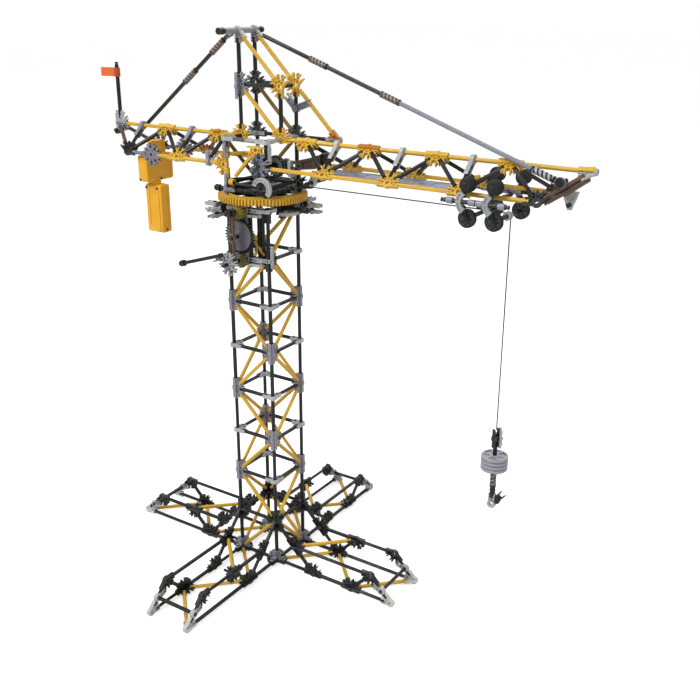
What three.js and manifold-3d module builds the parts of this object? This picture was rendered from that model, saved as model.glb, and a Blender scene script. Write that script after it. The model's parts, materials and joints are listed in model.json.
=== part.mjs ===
// Toy tower crane built from rods and clip connectors. Millimetres, +Z up, floor at z = 0.
// The jib runs along +X; "near" and "front" of the tower are on the -Y side. The origin is on the
// floor under the middle of the overall length.
// Pieces are laid out in the tower's frame: x and y from the tower axis, z from the lowest rods.
import * as THREE from "three";
import Module from "manifold-3d";

const wasm = await Module();
wasm.setup();

// ---- driving dimensions ----
const TOWER_X = -92.8; // tower axis in the finished frame
const BASE_Z = 6; // lowest rods' axis above the floor
const CELL = 75.2; // tower cell, node to node
const HALF = CELL / 2; // half the tower's width
const SECTIONS = 4; // tower sections, two cells each
const LEG_CELLS = 3;

const ROD_R = 3.1;
const TIE_R = 2.6; // short links between braces
const SQUARE_FACTOR = 1.2; // widens four-sided rods across their corners
const HUB_R = 6.8;
const HUB_THICK = 6;
const BRACE_INSET = 10.6; // brace ends from the nodes, along each axis
const TOWER_INSET = 9.9; // the same for the tower's braces

// Axle heights of the slewing train
const PINION_Z = 2 * SECTIONS * CELL;
const SPUR_Z = PINION_Z - HALF;
const CRANK_Z = SPUR_Z - HALF;

// Turning frame and mast heights
const LOWER_Z = 627.3;
const CHORD_Z = LOWER_Z + HALF; // jib lower chords
const TOP_Z = LOWER_Z + CELL; // upper ring and jib top chord
const MID_Z = TOP_Z + CELL; // mast, middle ring
const APEX_Z = MID_Z + CELL;

const CORNERS = [
  [-HALF, -HALF],
  [HALF, -HALF],
  [HALF, HALF],
  [-HALF, HALF],
];
const X_AXIS = new THREE.Vector3(1, 0, 0);
const Y_AXIS = new THREE.Vector3(0, 1, 0);
const Z_AXIS = new THREE.Vector3(0, 0, 1);

// ---- materials ----
const plastic = (color, roughness = 0.45) => ({ color, roughness, metalness: 0 });
const BLACK = plastic(0x2b2d2d);
const CHARCOAL = plastic(0x3a3833);
const RUBBER = plastic(0x333333, 0.8);
const CORD = plastic(0x4a4f4a);
const YELLOW = plastic(0xe3a423);
const OLIVE = plastic(0x9a8a3a);
const ORANGE = plastic(0xf2692b);
const BRONZE = plastic(0x6e5d53);
const LIGHT_GREY = plastic(0xb9babc);
const DARK_GREY = plastic(0x6d7078);
const LAVENDER = plastic(0x8f8f98);
const MAUVE = plastic(0x9c98a8);
const SLATE = plastic(0x8a90a0);

// ---- solids ----
const point = (x, y, z) => new THREE.Vector3(x + TOWER_X, y, z + BASE_Z);
const join = (bodies) => wasm.Manifold.union(bodies);

const fan = (count) => Array.from({ length: count - 2 }, (_, i) => [0, i + 1, i + 2]);

// A closed solid from two matching rings of points, joined by a wall.
function loft(low, high, caps = fan(low.length)) {
  const count = low.length;
  const triangles = [];
  for (let i = 0; i < count; i++) {
    const j = (i + 1) % count;
    triangles.push(i, j, count + j, i, count + j, count + i);
  }
  for (const [a, b, c] of caps) triangles.push(a, c, b, count + a, count + b, count + c);
  const body = new wasm.Manifold(
    new wasm.Mesh({
      numProp: 3,
      vertProperties: new Float32Array([...low, ...high].flatMap((v) => [v.x, v.y, v.z])),
      triVerts: new Uint32Array(triangles),
    }),
  );
  if (body.volume() <= 0) throw new Error("inside out");
  return body;
}

// Regular polygon; shift turns it by a fraction of a side.
const polygon = (sides, radius, shift = 0) =>
  Array.from({ length: sides }, (_, i) => {
    const angle = (2 * Math.PI * (i + shift)) / sides;
    return [radius * Math.cos(angle), radius * Math.sin(angle)];
  });

// Flat outline carried into the plane of across and up.
const place = (outline, centre, across, up) =>
  outline.map(([a, b]) => centre.clone().addScaledVector(across, a).addScaledVector(up, b));

// Prism between two points.
function rod(start, end, radius = ROD_R, sides = 4) {
  const along = end.clone().sub(start).normalize();
  const reference = Math.abs(along.z) < 0.9 ? Z_AXIS : X_AXIS;
  const across = reference.clone().cross(along).normalize();
  const up = along.clone().cross(across);
  const outline = polygon(sides, sides === 4 ? radius * SQUARE_FACTOR : radius, 0.5);
  return loft(place(outline, start, across, up), place(outline, end, across, up));
}

// Rods through a run of points, taking the radii in turn.
const chain = (points, radii = [ROD_R]) =>
  points.slice(1).map((end, i) => rod(points[i], end, radii[i % radii.length]));

// Rod along Z
const post = (x, y, z1, z2, radius = ROD_R, sides = 4) =>
  rod(point(x, y, z1), point(x, y, z2), radius, sides);

// Eight-sided rod along Y
const axle = (x, z, y1, y2, radius = ROD_R) => rod(point(x, y1, z), point(x, y2, z), radius, 8);

function disc(centre, axis, radius, thickness, sides = 8) {
  const along = axis.clone().setLength(thickness / 2);
  return rod(centre.clone().sub(along), centre.clone().add(along), radius, sides);
}
const hub = (centre, axis, sides = 8) => disc(centre, axis, HUB_R, HUB_THICK, sides);

function box([x1, x2], [y1, y2], [z1, z2]) {
  const rectangle = (z) => [point(x1, y1, z), point(x2, y1, z), point(x2, y2, z), point(x1, y2, z)];
  return loft(rectangle(z1), rectangle(z2));
}

// Counter-clockwise outline in the plane of across and up, thickened about its centre.
function plate(outline, centre, across, up, thickness) {
  const offset = across.clone().cross(up).setLength(thickness / 2);
  const shape = outline.map(([a, b]) => new THREE.Vector2(a, b));
  return loft(
    place(outline, centre.clone().sub(offset), across, up),
    place(outline, centre.clone().add(offset), across, up),
    THREE.ShapeUtils.triangulateShape(shape, []),
  );
}

// Square ring of rods with a hub on each corner
function squareRing(z) {
  const nodes = CORNERS.map(([x, y]) => point(x, y, z));
  return join([...chain([...nodes, nodes[0]]), ...nodes.map((centre) => hub(centre, Z_AXIS, 6))]);
}

const crane = new THREE.Group();
crane.name = "toy_tower_crane";

function add(name, body, material) {
  const pieces = body.decompose().length;
  if (pieces !== 1) throw new Error(`${name} is ${pieces} bodies`);
  const { vertProperties, triVerts } = body.getMesh();
  const geometry = new THREE.BufferGeometry();
  const positions = new THREE.BufferAttribute(new Float32Array(vertProperties), 3);
  geometry.setAttribute("position", positions);
  geometry.setIndex(new THREE.BufferAttribute(new Uint32Array(triVerts), 1));
  geometry.computeVertexNormals();
  const mesh = new THREE.Mesh(geometry, new THREE.MeshStandardMaterial(material));
  mesh.name = name;
  crane.add(mesh);
}

// ---- legs ----
const HUB_GAP = 10; // leg rods start this far from the tower's nodes
const END_TIE = 0.225; // crossbar on the sloping end, in cells from the tip

// Point on a leg: sideways, cells out from the tower's face, height. Leg 0 runs along -Y.
function legPoint(quarterTurns, sideways, cells, z) {
  let [x, y] = [sideways, -HALF - cells * CELL];
  for (let i = 0; i < quarterTurns; i++) [x, y] = [-y, x];
  return point(x, y, z);
}

function legFrame(quarterTurns) {
  const at = (...place) => legPoint(quarterTurns, ...place);
  const sideways = at(1, 0, 0).sub(at(0, 0, 0)).normalize();
  const rodFromHub = (node, end) => {
    const gap = end.clone().sub(node).setLength(HUB_GAP);
    return rod(node.clone().add(gap), end);
  };
  // Hexagon with a flat side on the floor
  const foot = (x, cells) => {
    const outline = polygon(6, BASE_Z / Math.cos(Math.PI / 6), 0.5);
    const across = sideways.clone().cross(Z_AXIS);
    return plate(outline, at(x, cells, 0), Z_AXIS, across, HUB_THICK);
  };
  const side = (x) => [
    rodFromHub(at(x, 0, CELL), at(x, 1, 0)),
    rodFromHub(at(x, 0, 0), at(x, LEG_CELLS, 0)),
    ...chain([at(x, 0.5, HALF), at(x, LEG_CELLS - 0.5, HALF), at(x, LEG_CELLS, 0)]),
    foot(x, LEG_CELLS),
    foot(x, 1),
  ];
  return join([
    ...side(-HALF),
    rod(at(-HALF, 2.5, HALF), at(-HALF, 2, 0)),
    foot(-HALF, 2),
    ...side(HALF),
    rod(at(HALF, 1.5, HALF), at(HALF, 1, 0)),
    rod(
      at(-HALF, LEG_CELLS - END_TIE, END_TIE * CELL),
      at(HALF, LEG_CELLS - END_TIE, END_TIE * CELL),
    ),
    rod(at(-HALF, 0.5, HALF), at(HALF, 1.5, HALF)),
  ]);
}

// Zig-zag between the lowest rods
function legBrace(quarterTurns) {
  const inset = BRACE_INSET / CELL;
  const points = [];
  for (let i = 0; i < LEG_CELLS; i++) {
    const x = (i % 2 ? 1 : -1) * (HALF - BRACE_INSET);
    points.push(legPoint(quarterTurns, x, i + inset, 0));
    points.push(legPoint(quarterTurns, -x, i + 1 - inset, 0));
  }
  return join(chain(points));
}

function addLegs() {
  ["front", "right", "back", "left"].forEach((name, i) => {
    add(`leg_frame_${name}`, legFrame(i), BLACK);
    add(`leg_brace_${name}`, legBrace(i), YELLOW);
  });
}

// ---- tower ----
const LINK_INSET = 7; // upright links between brace crowns, in from the corner
const LINK_R = 2;
const LINK_LAP = 1.5;
const inward = (value, distance) => value - Math.sign(value) * distance;

function towerSection(number) {
  const top = 2 * number * CELL;
  const posts = CORNERS.map(([x, y]) => post(x, y, top - 2 * CELL + 3.3, top + 3, ROD_R, 6));
  return join([squareRing(top - CELL), squareRing(top), ...posts]);
}

// Closed loop of diagonals round one cell, rising and falling in turn; short ties cut the corners.
function braceCrown(level) {
  const points = CORNERS.flatMap(([x, y], i) => {
    const isLow = i % 2 === level % 2;
    const z = isLow ? level * CELL + TOWER_INSET : (level + 1) * CELL - TOWER_INSET;
    const ends = [point(x, inward(y, TOWER_INSET), z), point(inward(x, TOWER_INSET), y, z)];
    return i % 2 ? ends.reverse() : ends;
  });
  return chain([...points, points[0]], [TIE_R, ROD_R]);
}

function towerBrace(number) {
  const level = 2 * number - 1;
  const reach = TOWER_INSET + LINK_LAP;
  const links = [CORNERS[1], CORNERS[3]].map(([x, y]) =>
    post(
      inward(x, LINK_INSET),
      inward(y, LINK_INSET),
      level * CELL - reach,
      level * CELL + reach,
      LINK_R,
    ),
  );
  return join([...braceCrown(level - 1), ...braceCrown(level), ...links]);
}

function addTower() {
  for (let i = 1; i <= SECTIONS; i++) add(`tower_section_${i}`, towerSection(i), BLACK);
  for (let i = 1; i <= SECTIONS; i++) add(`tower_brace_${i}`, towerBrace(i), YELLOW);
}

// ---- slewing drive, on the tower's near face ----
const CROWN_TEETH = 82;
const SPUR_TEETH = 34;
const PINION_TEETH = 14;
const RADIUS_PER_TOOTH = 64.25 / CROWN_TEETH;
const ADDENDUM = 0.95; // tooth height above the pitch circle
const DEDENDUM = 1.5; // tooth depth below it
const ROOT_HALF = 1.05; // half a tooth's width
const TIP_HALF = 0.45;
const GEAR_Y = -58;
const AXLE_Y = -41.6; // tower end of the axles
const BEARING_Y = [-49, -42.2];
const CRANK_Y = -87;

// Gear with its axis along Y. A tooth or a gap points straight up.
function gear(teeth, x, y, z, thickness, toothUp = true) {
  const tip = RADIUS_PER_TOOTH * teeth + ADDENDUM;
  const root = tip - ADDENDUM - DEDENDUM;
  const flank = [
    [root, -ROOT_HALF],
    [tip, -TIP_HALF],
    [tip, TIP_HALF],
    [root, ROOT_HALF],
  ];
  const outline = [];
  for (let i = 0; i < teeth; i++) {
    const middle = (2 * Math.PI * (i + (toothUp ? 0 : 0.5))) / teeth;
    for (const [radius, offset] of flank) {
      const angle = middle + offset / radius;
      outline.push([radius * Math.cos(angle), radius * Math.sin(angle)]);
    }
  }
  return plate(outline, point(x, y, z), Z_AXIS, X_AXIS, thickness);
}

function crankHub() {
  const depth = [CRANK_Y - 3, CRANK_Y + 3];
  // x range, then z range above the axle
  const blocks = [
    [[-21, 0], [-3.5, 3.5]],
    [[-7, 7], [11, 19]],
    [[-18.5, -4], [8, 15]],
    [[-21, -14], [0, 15]],
  ];
  return join([
    gear(PINION_TEETH, 0, GEAR_Y, CRANK_Z, 8),
    axle(0, CRANK_Z, AXLE_Y, -99),
    disc(point(0, CRANK_Y, CRANK_Z), Y_AXIS, 9, 6),
    ...blocks.map(([xs, [z1, z2]]) => box(xs, depth, [CRANK_Z + z1, CRANK_Z + z2])),
  ]);
}

// Sloping rod in front of the crank, reaching towards -X
function crankHandle() {
  const y = CRANK_Y - 6.6;
  return join([
    rod(point(-14, y, CRANK_Z + 12), point(-92, y, CRANK_Z - 12), ROD_R, 8),
    disc(point(-86, y, CRANK_Z - 10.2), new THREE.Vector3(78, 0, 24), 4.4, 9),
  ]);
}

function addDrive() {
  const pinion = join([
    gear(PINION_TEETH, 0, -60.5, PINION_Z, 11),
    axle(0, PINION_Z, AXLE_Y, -84),
    disc(point(0, -83, PINION_Z), Y_AXIS, 5.5, 6),
  ]);
  add("drive_pinion", pinion, OLIVE);
  const spur = [gear(SPUR_TEETH, 0, GEAR_Y, SPUR_Z, 5, false), axle(0, SPUR_Z, AXLE_Y, -81)];
  add("spur_gear", join(spur), DARK_GREY);
  add("crank_hub", crankHub(), LIGHT_GREY);
  add("crank_handle", crankHandle(), BLACK);

  const holes = join([PINION_Z, SPUR_Z, CRANK_Z].map((z) => axle(0, z, -30, -95, ROD_R + 0.5)));
  const bearing = (ys) => box([-6.2, 6.2], ys, [CRANK_Z - 9, PINION_Z + 7]);
  const arm = (z) => box([-33, 33], BEARING_Y, [z - 3, z + 3]);
  add("drive_strut", bearing([-78.5, -72.5]).subtract(holes), BRONZE);
  const bracket = join([bearing(BEARING_Y), arm(CRANK_Z), arm(PINION_Z)]);
  add("drive_bracket", bracket.subtract(holes), LIGHT_GREY);
}

// ---- turning top ----
// Ring with teeth on its underside, meshing with the pinion
function crownGear() {
  const sides = 41;
  const pitchZ = PINION_Z + RADIUS_PER_TOOTH * PINION_TEETH;
  const bottom = pitchZ + DEDENDUM;
  const top = 622;
  const slab = (radius, thickness) => {
    const centre = point(0, 0, (bottom + top) / 2);
    return plate(polygon(sides, radius), centre, X_AXIS, Y_AXIS, thickness);
  };
  const bodies = [slab(68.6, top - bottom).subtract(slab(50, top - bottom + 2))];
  // Tooth section: offset along the rim, height
  const section = [
    [-0.55, pitchZ - ADDENDUM],
    [0.55, pitchZ - ADDENDUM],
    [0.85, bottom + 1],
    [-0.85, bottom + 1],
  ];
  for (let i = 0; i < CROWN_TEETH; i++) {
    const angle = -Math.PI / 2 + ((i + 0.5) * 2 * Math.PI) / CROWN_TEETH;
    const [cos, sin] = [Math.cos(angle), Math.sin(angle)];
    const sectionAt = (radius) =>
      section.map(([offset, z]) =>
        point(radius * cos - offset * sin, radius * sin + offset * cos, z),
      );
    bodies.push(loft(sectionAt(58), sectionAt(68.1)));
  }
  return join(bodies);
}

const turntableFrame = () =>
  join([
    squareRing(LOWER_Z),
    rod(point(-HALF, 0, LOWER_Z), point(HALF, 0, LOWER_Z)),
    rod(point(0, -HALF, LOWER_Z), point(0, HALF, LOWER_Z)),
    ...CORNERS.map(([x, y]) => post(x, y, LOWER_Z - 5, LOWER_Z, 5)),
  ]);

const cabFrame = () =>
  join([
    squareRing(TOP_Z),
    ...CORNERS.flatMap(([x, y]) => [
      post(x, y, LOWER_Z + 3.3, TOP_Z, ROD_R, 6),
      hub(point(x, y, CHORD_Z), Y_AXIS, 6),
    ]),
  ]);

// Braces on the -X and +Y faces, tied at their low ends
function cabBrace() {
  const reach = HALF - BRACE_INSET;
  const low = LOWER_Z + BRACE_INSET;
  const high = TOP_Z - BRACE_INSET;
  const points = [
    point(-HALF, -reach, high),
    point(-HALF, reach, low),
    point(-reach, HALF, low),
    point(reach, HALF, high),
  ];
  return join(chain(points, [ROD_R, TIE_R]));
}

function mastFrame() {
  const bottom = TOP_Z + 3.5;
  const bodies = [rod(point(-HALF, -43, APEX_Z), point(-HALF, 55, APEX_Z))];
  for (const y of [0, HALF]) {
    bodies.push(post(-HALF, y, bottom, APEX_Z), post(HALF, y, bottom, MID_Z));
    bodies.push(rod(point(-HALF, y, MID_Z), point(HALF, y, MID_Z)));
  }
  for (const x of [-HALF, HALF]) bodies.push(rod(point(x, -2, MID_Z), point(x, HALF + 3, MID_Z)));
  return join(bodies);
}

// Two diagonals; a link from the y = 0 one steps round the +X post to a lower diagonal.
function mastBraceUpper() {
  const inner = HALF - BRACE_INSET;
  const outer = HALF + BRACE_INSET;
  const linkY = HALF + 7;
  const above = MID_Z + BRACE_INSET;
  const below = MID_Z - BRACE_INSET;
  const start = (y) => point(-inner, y, APEX_Z - BRACE_INSET);
  const points = [
    start(0),
    point(inner, 0, above),
    point(inner, linkY, above),
    point(outer, linkY, below),
    point(outer, HALF, below),
    point(3 * HALF - 7, HALF, TOP_Z + 7),
  ];
  return join([
    ...chain(points, [ROD_R, TIE_R, 2.2, TIE_R, ROD_R]),
    rod(start(HALF), point(inner, HALF, above)),
  ]);
}

function mastBraceLower() {
  const inner = HALF - BRACE_INSET;
  const high = (y) => point(-inner, y, MID_Z - BRACE_INSET);
  const low = (y) => point(inner, y, TOP_Z + BRACE_INSET);
  return join(chain([high(0), low(0), low(HALF), high(HALF)], [ROD_R, TIE_R]));
}

function addTurningTop() {
  add("crown_gear", crownGear(), YELLOW);
  add("turntable_frame", turntableFrame(), BLACK);
  add("cab_frame", cabFrame(), BLACK);
  add("cab_brace", cabBrace(), YELLOW);
  add("mast_frame", mastFrame(), BLACK);
  add("mast_brace_upper", mastBraceUpper(), YELLOW);
  add("mast_brace_lower", mastBraceLower(), YELLOW);
}

// ---- jib (direction 1, along +X) and counter-jib (direction -1) ----
const FIRST_NODE_X = 84.2; // first top node
const NODE_PITCH = 106.4;
const WEB_R = 2.9;

function chord(direction, startX, endX, y, z) {
  const end = point(direction * endX, y, z);
  return join([rod(point(direction * startX, y, z), end), hub(end, Y_AXIS)]);
}

// The web's nodes sit clear of the chords, and a little further in at the outer end.
function web(direction, bays) {
  const top = (i) => {
    const drop = 8.6 + (i === bays ? 2.4 : 0);
    return point(direction * (FIRST_NODE_X + i * NODE_PITCH), 0, TOP_Z - drop);
  };
  const low = (i, side) => {
    const inset = i === bays - 1 ? 8.2 : 6.6;
    const x = direction * (FIRST_NODE_X + (i + 0.5) * NODE_PITCH);
    return point(x, side * (HALF - inset), CHORD_Z + inset);
  };
  const bodies = [];
  for (const side of [-1, 1]) {
    const points = [top(0)];
    for (let i = 0; i < bays; i++) points.push(low(i, side), top(i + 1));
    bodies.push(...chain(points, [WEB_R]));
  }
  for (let i = 0; i <= bays; i++) bodies.push(disc(top(i), X_AXIS, 4.2, 8, 4));
  return join(bodies);
}

function addJib(name, direction, bays) {
  const endX = FIRST_NODE_X + bays * NODE_PITCH;
  const top = chord(direction, HALF + ROD_R + 0.4, endX, 0, TOP_Z);
  const lower = (y) => chord(direction, HALF + HUB_R + 0.6, endX - NODE_PITCH / 2, y, CHORD_Z);
  add(`${name}_top_chord`, top, YELLOW);
  add(`${name}_near_chord`, lower(-HALF), YELLOW);
  add(`${name}_far_chord`, lower(HALF), YELLOW);
  add(`${name}_web`, web(direction, bays), BLACK);
}

// Couplers sit at fractions of the stay's length.
function stay(start, end, couplers) {
  const along = end.clone().sub(start);
  const sleeves = couplers.map((fraction) =>
    disc(start.clone().addScaledVector(along, fraction), along, 4.6, 24, 6),
  );
  return join([rod(start, end), ...sleeves]);
}

function addStays() {
  const front = stay(point(-29, 47, 845), point(466, -17.4, 692), [0.225, 0.49, 0.94]);
  const rear = stay(point(-44.5, -14, 847), point(-262, 17, 694), [0.11, 0.41]);
  add("front_stay", front, BLACK);
  add("rear_stay", rear, BLACK);
}

// ---- housings and flag on the counter-jib ----
const FLAG_X = -294;
const FLAG_Z = [776, 790];

function addCounterJibFittings() {
  const motor = [
    box([-229, -209], [-33, 27], [617, 659]),
    box([-226, -209], [-12, 12], [655, 680]),
  ];
  const battery = [
    box([-229, -195], [-20, 1], [533, 612]),
    box([-224, -212], [-14, -5], [608, 616.7]),
  ];
  add("motor_housing", join(motor), YELLOW);
  add("battery_housing", join(battery), YELLOW);
  add("flag_pole", post(FLAG_X, 0, TOP_Z + HUB_R + 0.4, 798.8, ROD_R, 8), BLACK);
  const flag = [box([-331, FLAG_X], [-0.9, 0.9], FLAG_Z), post(FLAG_X, 0, ...FLAG_Z, 4.6, 8)];
  const bore = post(FLAG_X, 0, 770, 796, ROD_R + 0.35, 8);
  add("flag", join(flag).subtract(bore), ORANGE);
}

// ---- winch ----
const WINCH_TEETH = 20;
const DRUM_R = 8;
const GUIDE_X = 85;
const GUIDE_Z = 642.3;

function addWinch() {
  add("winch_block", box([68, 121], [-8, 8], [666, 684]), CHARCOAL);
  const drum = [
    gear(WINCH_TEETH, HALF, -14, CHORD_Z, 5),
    axle(HALF, CHORD_Z, -29, 29),
    disc(point(HALF, 2, CHORD_Z), Y_AXIS, DRUM_R, 22, 12),
  ];
  add("winch_drum", join(drum), LAVENDER);
  const guide = [
    rod(point(GUIDE_X, -5, GUIDE_Z), point(GUIDE_X, 44, GUIDE_Z)),
    post(GUIDE_X, HALF, GUIDE_Z, CHORD_Z - ROD_R - 0.35),
    disc(point(GUIDE_X, 12, GUIDE_Z), Y_AXIS, 4.6, 8),
  ];
  add("cable_guide", join(guide), BLACK);
}

// ---- trolley ----
const REAR_X = 366;
const FRONT_X = REAR_X + HALF;
const UPPER_Z = 678.5; // wheel axles
const UNDER_Z = 634.5;
const TROLLEY_Z = 657;
const WHEEL_Y = 42.4;
const WHEEL_THICK = 7.4;
const HANGER_Y = 51;

function trolleyFrame() {
  const upper = UPPER_Z - TROLLEY_Z;
  const under = UNDER_Z - TROLLEY_Z;
  // x from the axles, z from the middle of the trolley
  const hanger = [
    [-6, under - 6],
    [6, under - 6],
    [6, under + 5],
    [1, -3],
    [1, 3],
    [6, upper - 5],
    [6, upper + 5],
    [-6, upper + 5],
    [-13, 10],
    [-13, -10],
  ];
  const middle = (REAR_X + FRONT_X) / 2;
  const bodies = [rod(point(middle, -HANGER_Y, 652.5), point(middle, HANGER_Y, 652.5))];
  for (const y of [-HANGER_Y, HANGER_Y]) {
    for (const x of [REAR_X, FRONT_X])
      bodies.push(plate(hanger, point(x, y, TROLLEY_Z), X_AXIS, Z_AXIS, 5));
    bodies.push(rod(point(332, y, TROLLEY_Z), point(427, y, TROLLEY_Z)));
  }
  const holes = [REAR_X, FRONT_X].flatMap((x) => [
    axle(x, UNDER_Z, -60, 60, ROD_R + 0.4),
    axle(x, UPPER_Z, -60, 60, 2.9),
  ]);
  return join(bodies).subtract(join(holes));
}

function upperWheel(x, side) {
  const y = side * WHEEL_Y;
  return join([
    disc(point(x, y, UPPER_Z), Y_AXIS, 10.3, WHEEL_THICK, 16),
    axle(x, UPPER_Z, y, side * 56, 2.4),
  ]);
}

// Axle with a wheel at each end; the front one has two flanges beside the cable.
function lowerAxle(x) {
  const bodies = [axle(x, UNDER_Z, -57, 57)];
  for (const side of [-1, 1]) {
    bodies.push(disc(point(x, side * WHEEL_Y, UNDER_Z), Y_AXIS, 10.5, WHEEL_THICK, 16));
    if (x === FRONT_X) bodies.push(disc(point(x, side * 3, UNDER_Z), Y_AXIS, 6, 2, 12));
  }
  return join(bodies);
}

function addTrolley() {
  add("trolley_frame", trolleyFrame(), LIGHT_GREY);
  for (const [end, x] of [["rear", REAR_X], ["front", FRONT_X]]) {
    add(`upper_wheel_${end}_near`, upperWheel(x, -1), RUBBER);
    add(`upper_wheel_${end}_far`, upperWheel(x, 1), RUBBER);
    add(`lower_axle_${end}`, lowerAxle(x), RUBBER);
  }
}

// ---- cables and hook ----
const CABLE_R = 0.7;
const CABLE_GAP = 0.2; // clearance round the drum and axle
const CABLE_LAP = 0.35; // overlap at each bend
const HOOK_X = 314.8; // hoist cable and hook

// From the drum, under the guide and a quarter turn over the trolley's front axle
function trolleyCable() {
  const wrap = ROD_R + CABLE_R + CABLE_GAP;
  const points = [
    point(HALF, 0, CHORD_Z - DRUM_R - CABLE_R - CABLE_GAP),
    point(GUIDE_X, 0, GUIDE_Z - ROD_R - CABLE_R - 0.6),
  ];
  for (let i = 0; i <= 4; i++) {
    const angle = Math.PI / 2 - (i * Math.PI) / 8;
    points.push(point(FRONT_X + wrap * Math.cos(angle), 0, UNDER_Z + wrap * Math.sin(angle)));
  }
  const last = points.length - 2;
  const bodies = points.slice(1).map((end, i) => {
    const lap = end.clone().sub(points[i]).setLength(CABLE_LAP);
    const from = points[i].clone().addScaledVector(lap, i > 0 ? -1 : 0);
    return rod(from, end.clone().addScaledVector(lap, i < last ? 1 : 0), CABLE_R);
  });
  return join(bodies);
}

const hookClip = () =>
  join([
    post(HOOK_X, 0, 263.5, 326, ROD_R, 8),
    disc(point(HOOK_X, 0, 316), Y_AXIS, 6.5, 6),
    box([HOOK_X - 4.5, HOOK_X + 4.5], [-3, 3], [303, 329.5]),
    box([HOOK_X + 2, HOOK_X + 9], [-2, 2], [304, 329]),
  ]);

// Four discs on a core, bored for the clip's rod
function hookWeights() {
  const bodies = [disc(point(HOOK_X, 0, 278), Z_AXIS, 8, 22)];
  for (let i = 0; i < 4; i++)
    bodies.push(disc(point(HOOK_X, 0, 269.4 + 5.65 * i), Z_AXIS, 19.5, 4.2, 14));
  return join(bodies).subtract(post(HOOK_X, 0, 250, 300, ROD_R + 0.35, 8));
}

function hookTip() {
  const at = (x, z) => point(HOOK_X + x, 0, z);
  return join([
    rod(at(0, 263.1), at(0, 214), 4.6, 8),
    rod(at(0, 213), at(10, 221), 4.4, 8),
    box([HOOK_X - 4.5, HOOK_X + 4.5], [-3, 3], [206, 216]),
    rod(at(8, 218), at(17, 231), 2.2, 6),
    rod(at(8, 218), at(23, 223), 2.2, 6),
  ]);
}

function addCablesAndHook() {
  add("trolley_cable", trolleyCable(), CORD);
  add("hoist_cable", post(HOOK_X, 0, UNDER_Z - 0.6, 330, CABLE_R, 6), CORD);
  add("hook_clip", hookClip(), BLACK);
  add("hook_weights", hookWeights(), MAUVE);
  add("hook_tip", hookTip(), BRONZE);
}

// ---- assembly ----
add("base_ring", squareRing(0), BLACK);
addLegs();
addTower();
addDrive();
addTurningTop();
addJib("jib", 1, 4);
addJib("counter", -1, 2);
add("jib_deck", box([128, 350], [-18, 18], [CHORD_Z - 3, CHORD_Z - 0.5]), SLATE);
addStays();
addCounterJibFittings();
addWinch();
addTrolley();
addCablesAndHook();

export default crane;
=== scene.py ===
"""A toy tower crane built from plastic rods and snap-on connectors.

Lengths are millimetres until the pieces are built. In the crane's own frame the tower's
axis is x = 0, y = 0 and its lowest connectors lie at z = 0. The jib points to +X, the
counter-jib to -X, and -Y is the near side. ORIGIN places that frame in the scene.
"""
import json
import math
import random
import bpy
import numpy as np
from mathutils import Matrix, Vector
from mathutils.geometry import tessellate_polygon


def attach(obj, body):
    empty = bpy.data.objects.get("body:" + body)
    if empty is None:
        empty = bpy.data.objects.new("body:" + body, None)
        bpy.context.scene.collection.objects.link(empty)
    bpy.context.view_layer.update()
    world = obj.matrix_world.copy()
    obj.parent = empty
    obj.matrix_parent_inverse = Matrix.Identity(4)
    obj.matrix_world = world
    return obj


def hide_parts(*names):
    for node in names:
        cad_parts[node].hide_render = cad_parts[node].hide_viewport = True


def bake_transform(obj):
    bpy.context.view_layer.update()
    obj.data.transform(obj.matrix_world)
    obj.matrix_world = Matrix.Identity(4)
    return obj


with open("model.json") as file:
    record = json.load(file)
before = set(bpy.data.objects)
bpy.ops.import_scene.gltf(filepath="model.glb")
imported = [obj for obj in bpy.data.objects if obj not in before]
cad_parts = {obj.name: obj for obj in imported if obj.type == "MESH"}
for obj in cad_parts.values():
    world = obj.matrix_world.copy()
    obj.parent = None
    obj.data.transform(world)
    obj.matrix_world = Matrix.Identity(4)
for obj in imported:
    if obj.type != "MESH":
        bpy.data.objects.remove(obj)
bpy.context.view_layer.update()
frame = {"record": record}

rng = random.Random(7)

# ================================================================ driving sizes
PITCH = 75.2  # between connectors of the tower and legs
HALF = PITCH / 2
ORIGIN = np.array([-92.8, 0, 6.0])

Z_CRANK = 7 * PITCH
Z_SPUR = 7.5 * PITCH
Z_PINION = 8 * PITCH  # also the top of the tower
Z_LOW = 627.3  # the turning frame
Z_CHORD = Z_LOW + HALF  # lower chords of the jib and counter-jib
Z_TOP = Z_LOW + PITCH  # top chords
Z_MID = Z_TOP + PITCH
Z_APEX = Z_MID + PITCH

TRUSS_X, BAY = 84.2, 106.4  # first top-chord connector, and the bay length
WHEEL_X = (366.0, 366.0 + HALF)
Z_WHEEL, Z_AXLE = 678.5, 634.5  # upper wheels and lower axles of the trolley
CROWN_TEETH = 82
TOOTH_R = 64.25 / CROWN_TEETH  # pitch radius per tooth
GAP = 10.1  # from a connector's middle to the end of the rod it holds


def vec(x, y, z):
    return np.array([x, y, z], float)


X_DIR, Y_DIR, Z_DIR = np.eye(3)

# Where a template's x, y and z point
FLAT = (X_DIR, Y_DIR, Z_DIR)
UPRIGHT = (X_DIR, Z_DIR, -Y_DIR)
ON_Y = (Z_DIR, X_DIR, Y_DIR)
ON_X = (Y_DIR, Z_DIR, X_DIR)


def unit(v):
    v = np.asarray(v, float)
    return v / np.linalg.norm(v)


def axes_along(axis, roll=0.0):
    """Axes whose z follows a direction, rolled about it."""
    w = unit(axis)
    u = unit(np.cross(Z_DIR if abs(w[2]) < 0.9 else X_DIR, w))
    v = np.cross(w, u)
    c, s = math.cos(roll), math.sin(roll)
    return c * u + s * v, -s * u + c * v, w


def axes_spun(degrees):
    """Flat axes turned about z."""
    c, s = math.cos(math.radians(degrees)), math.sin(math.radians(degrees))
    return (c, s, 0), (-s, c, 0), Z_DIR


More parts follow.
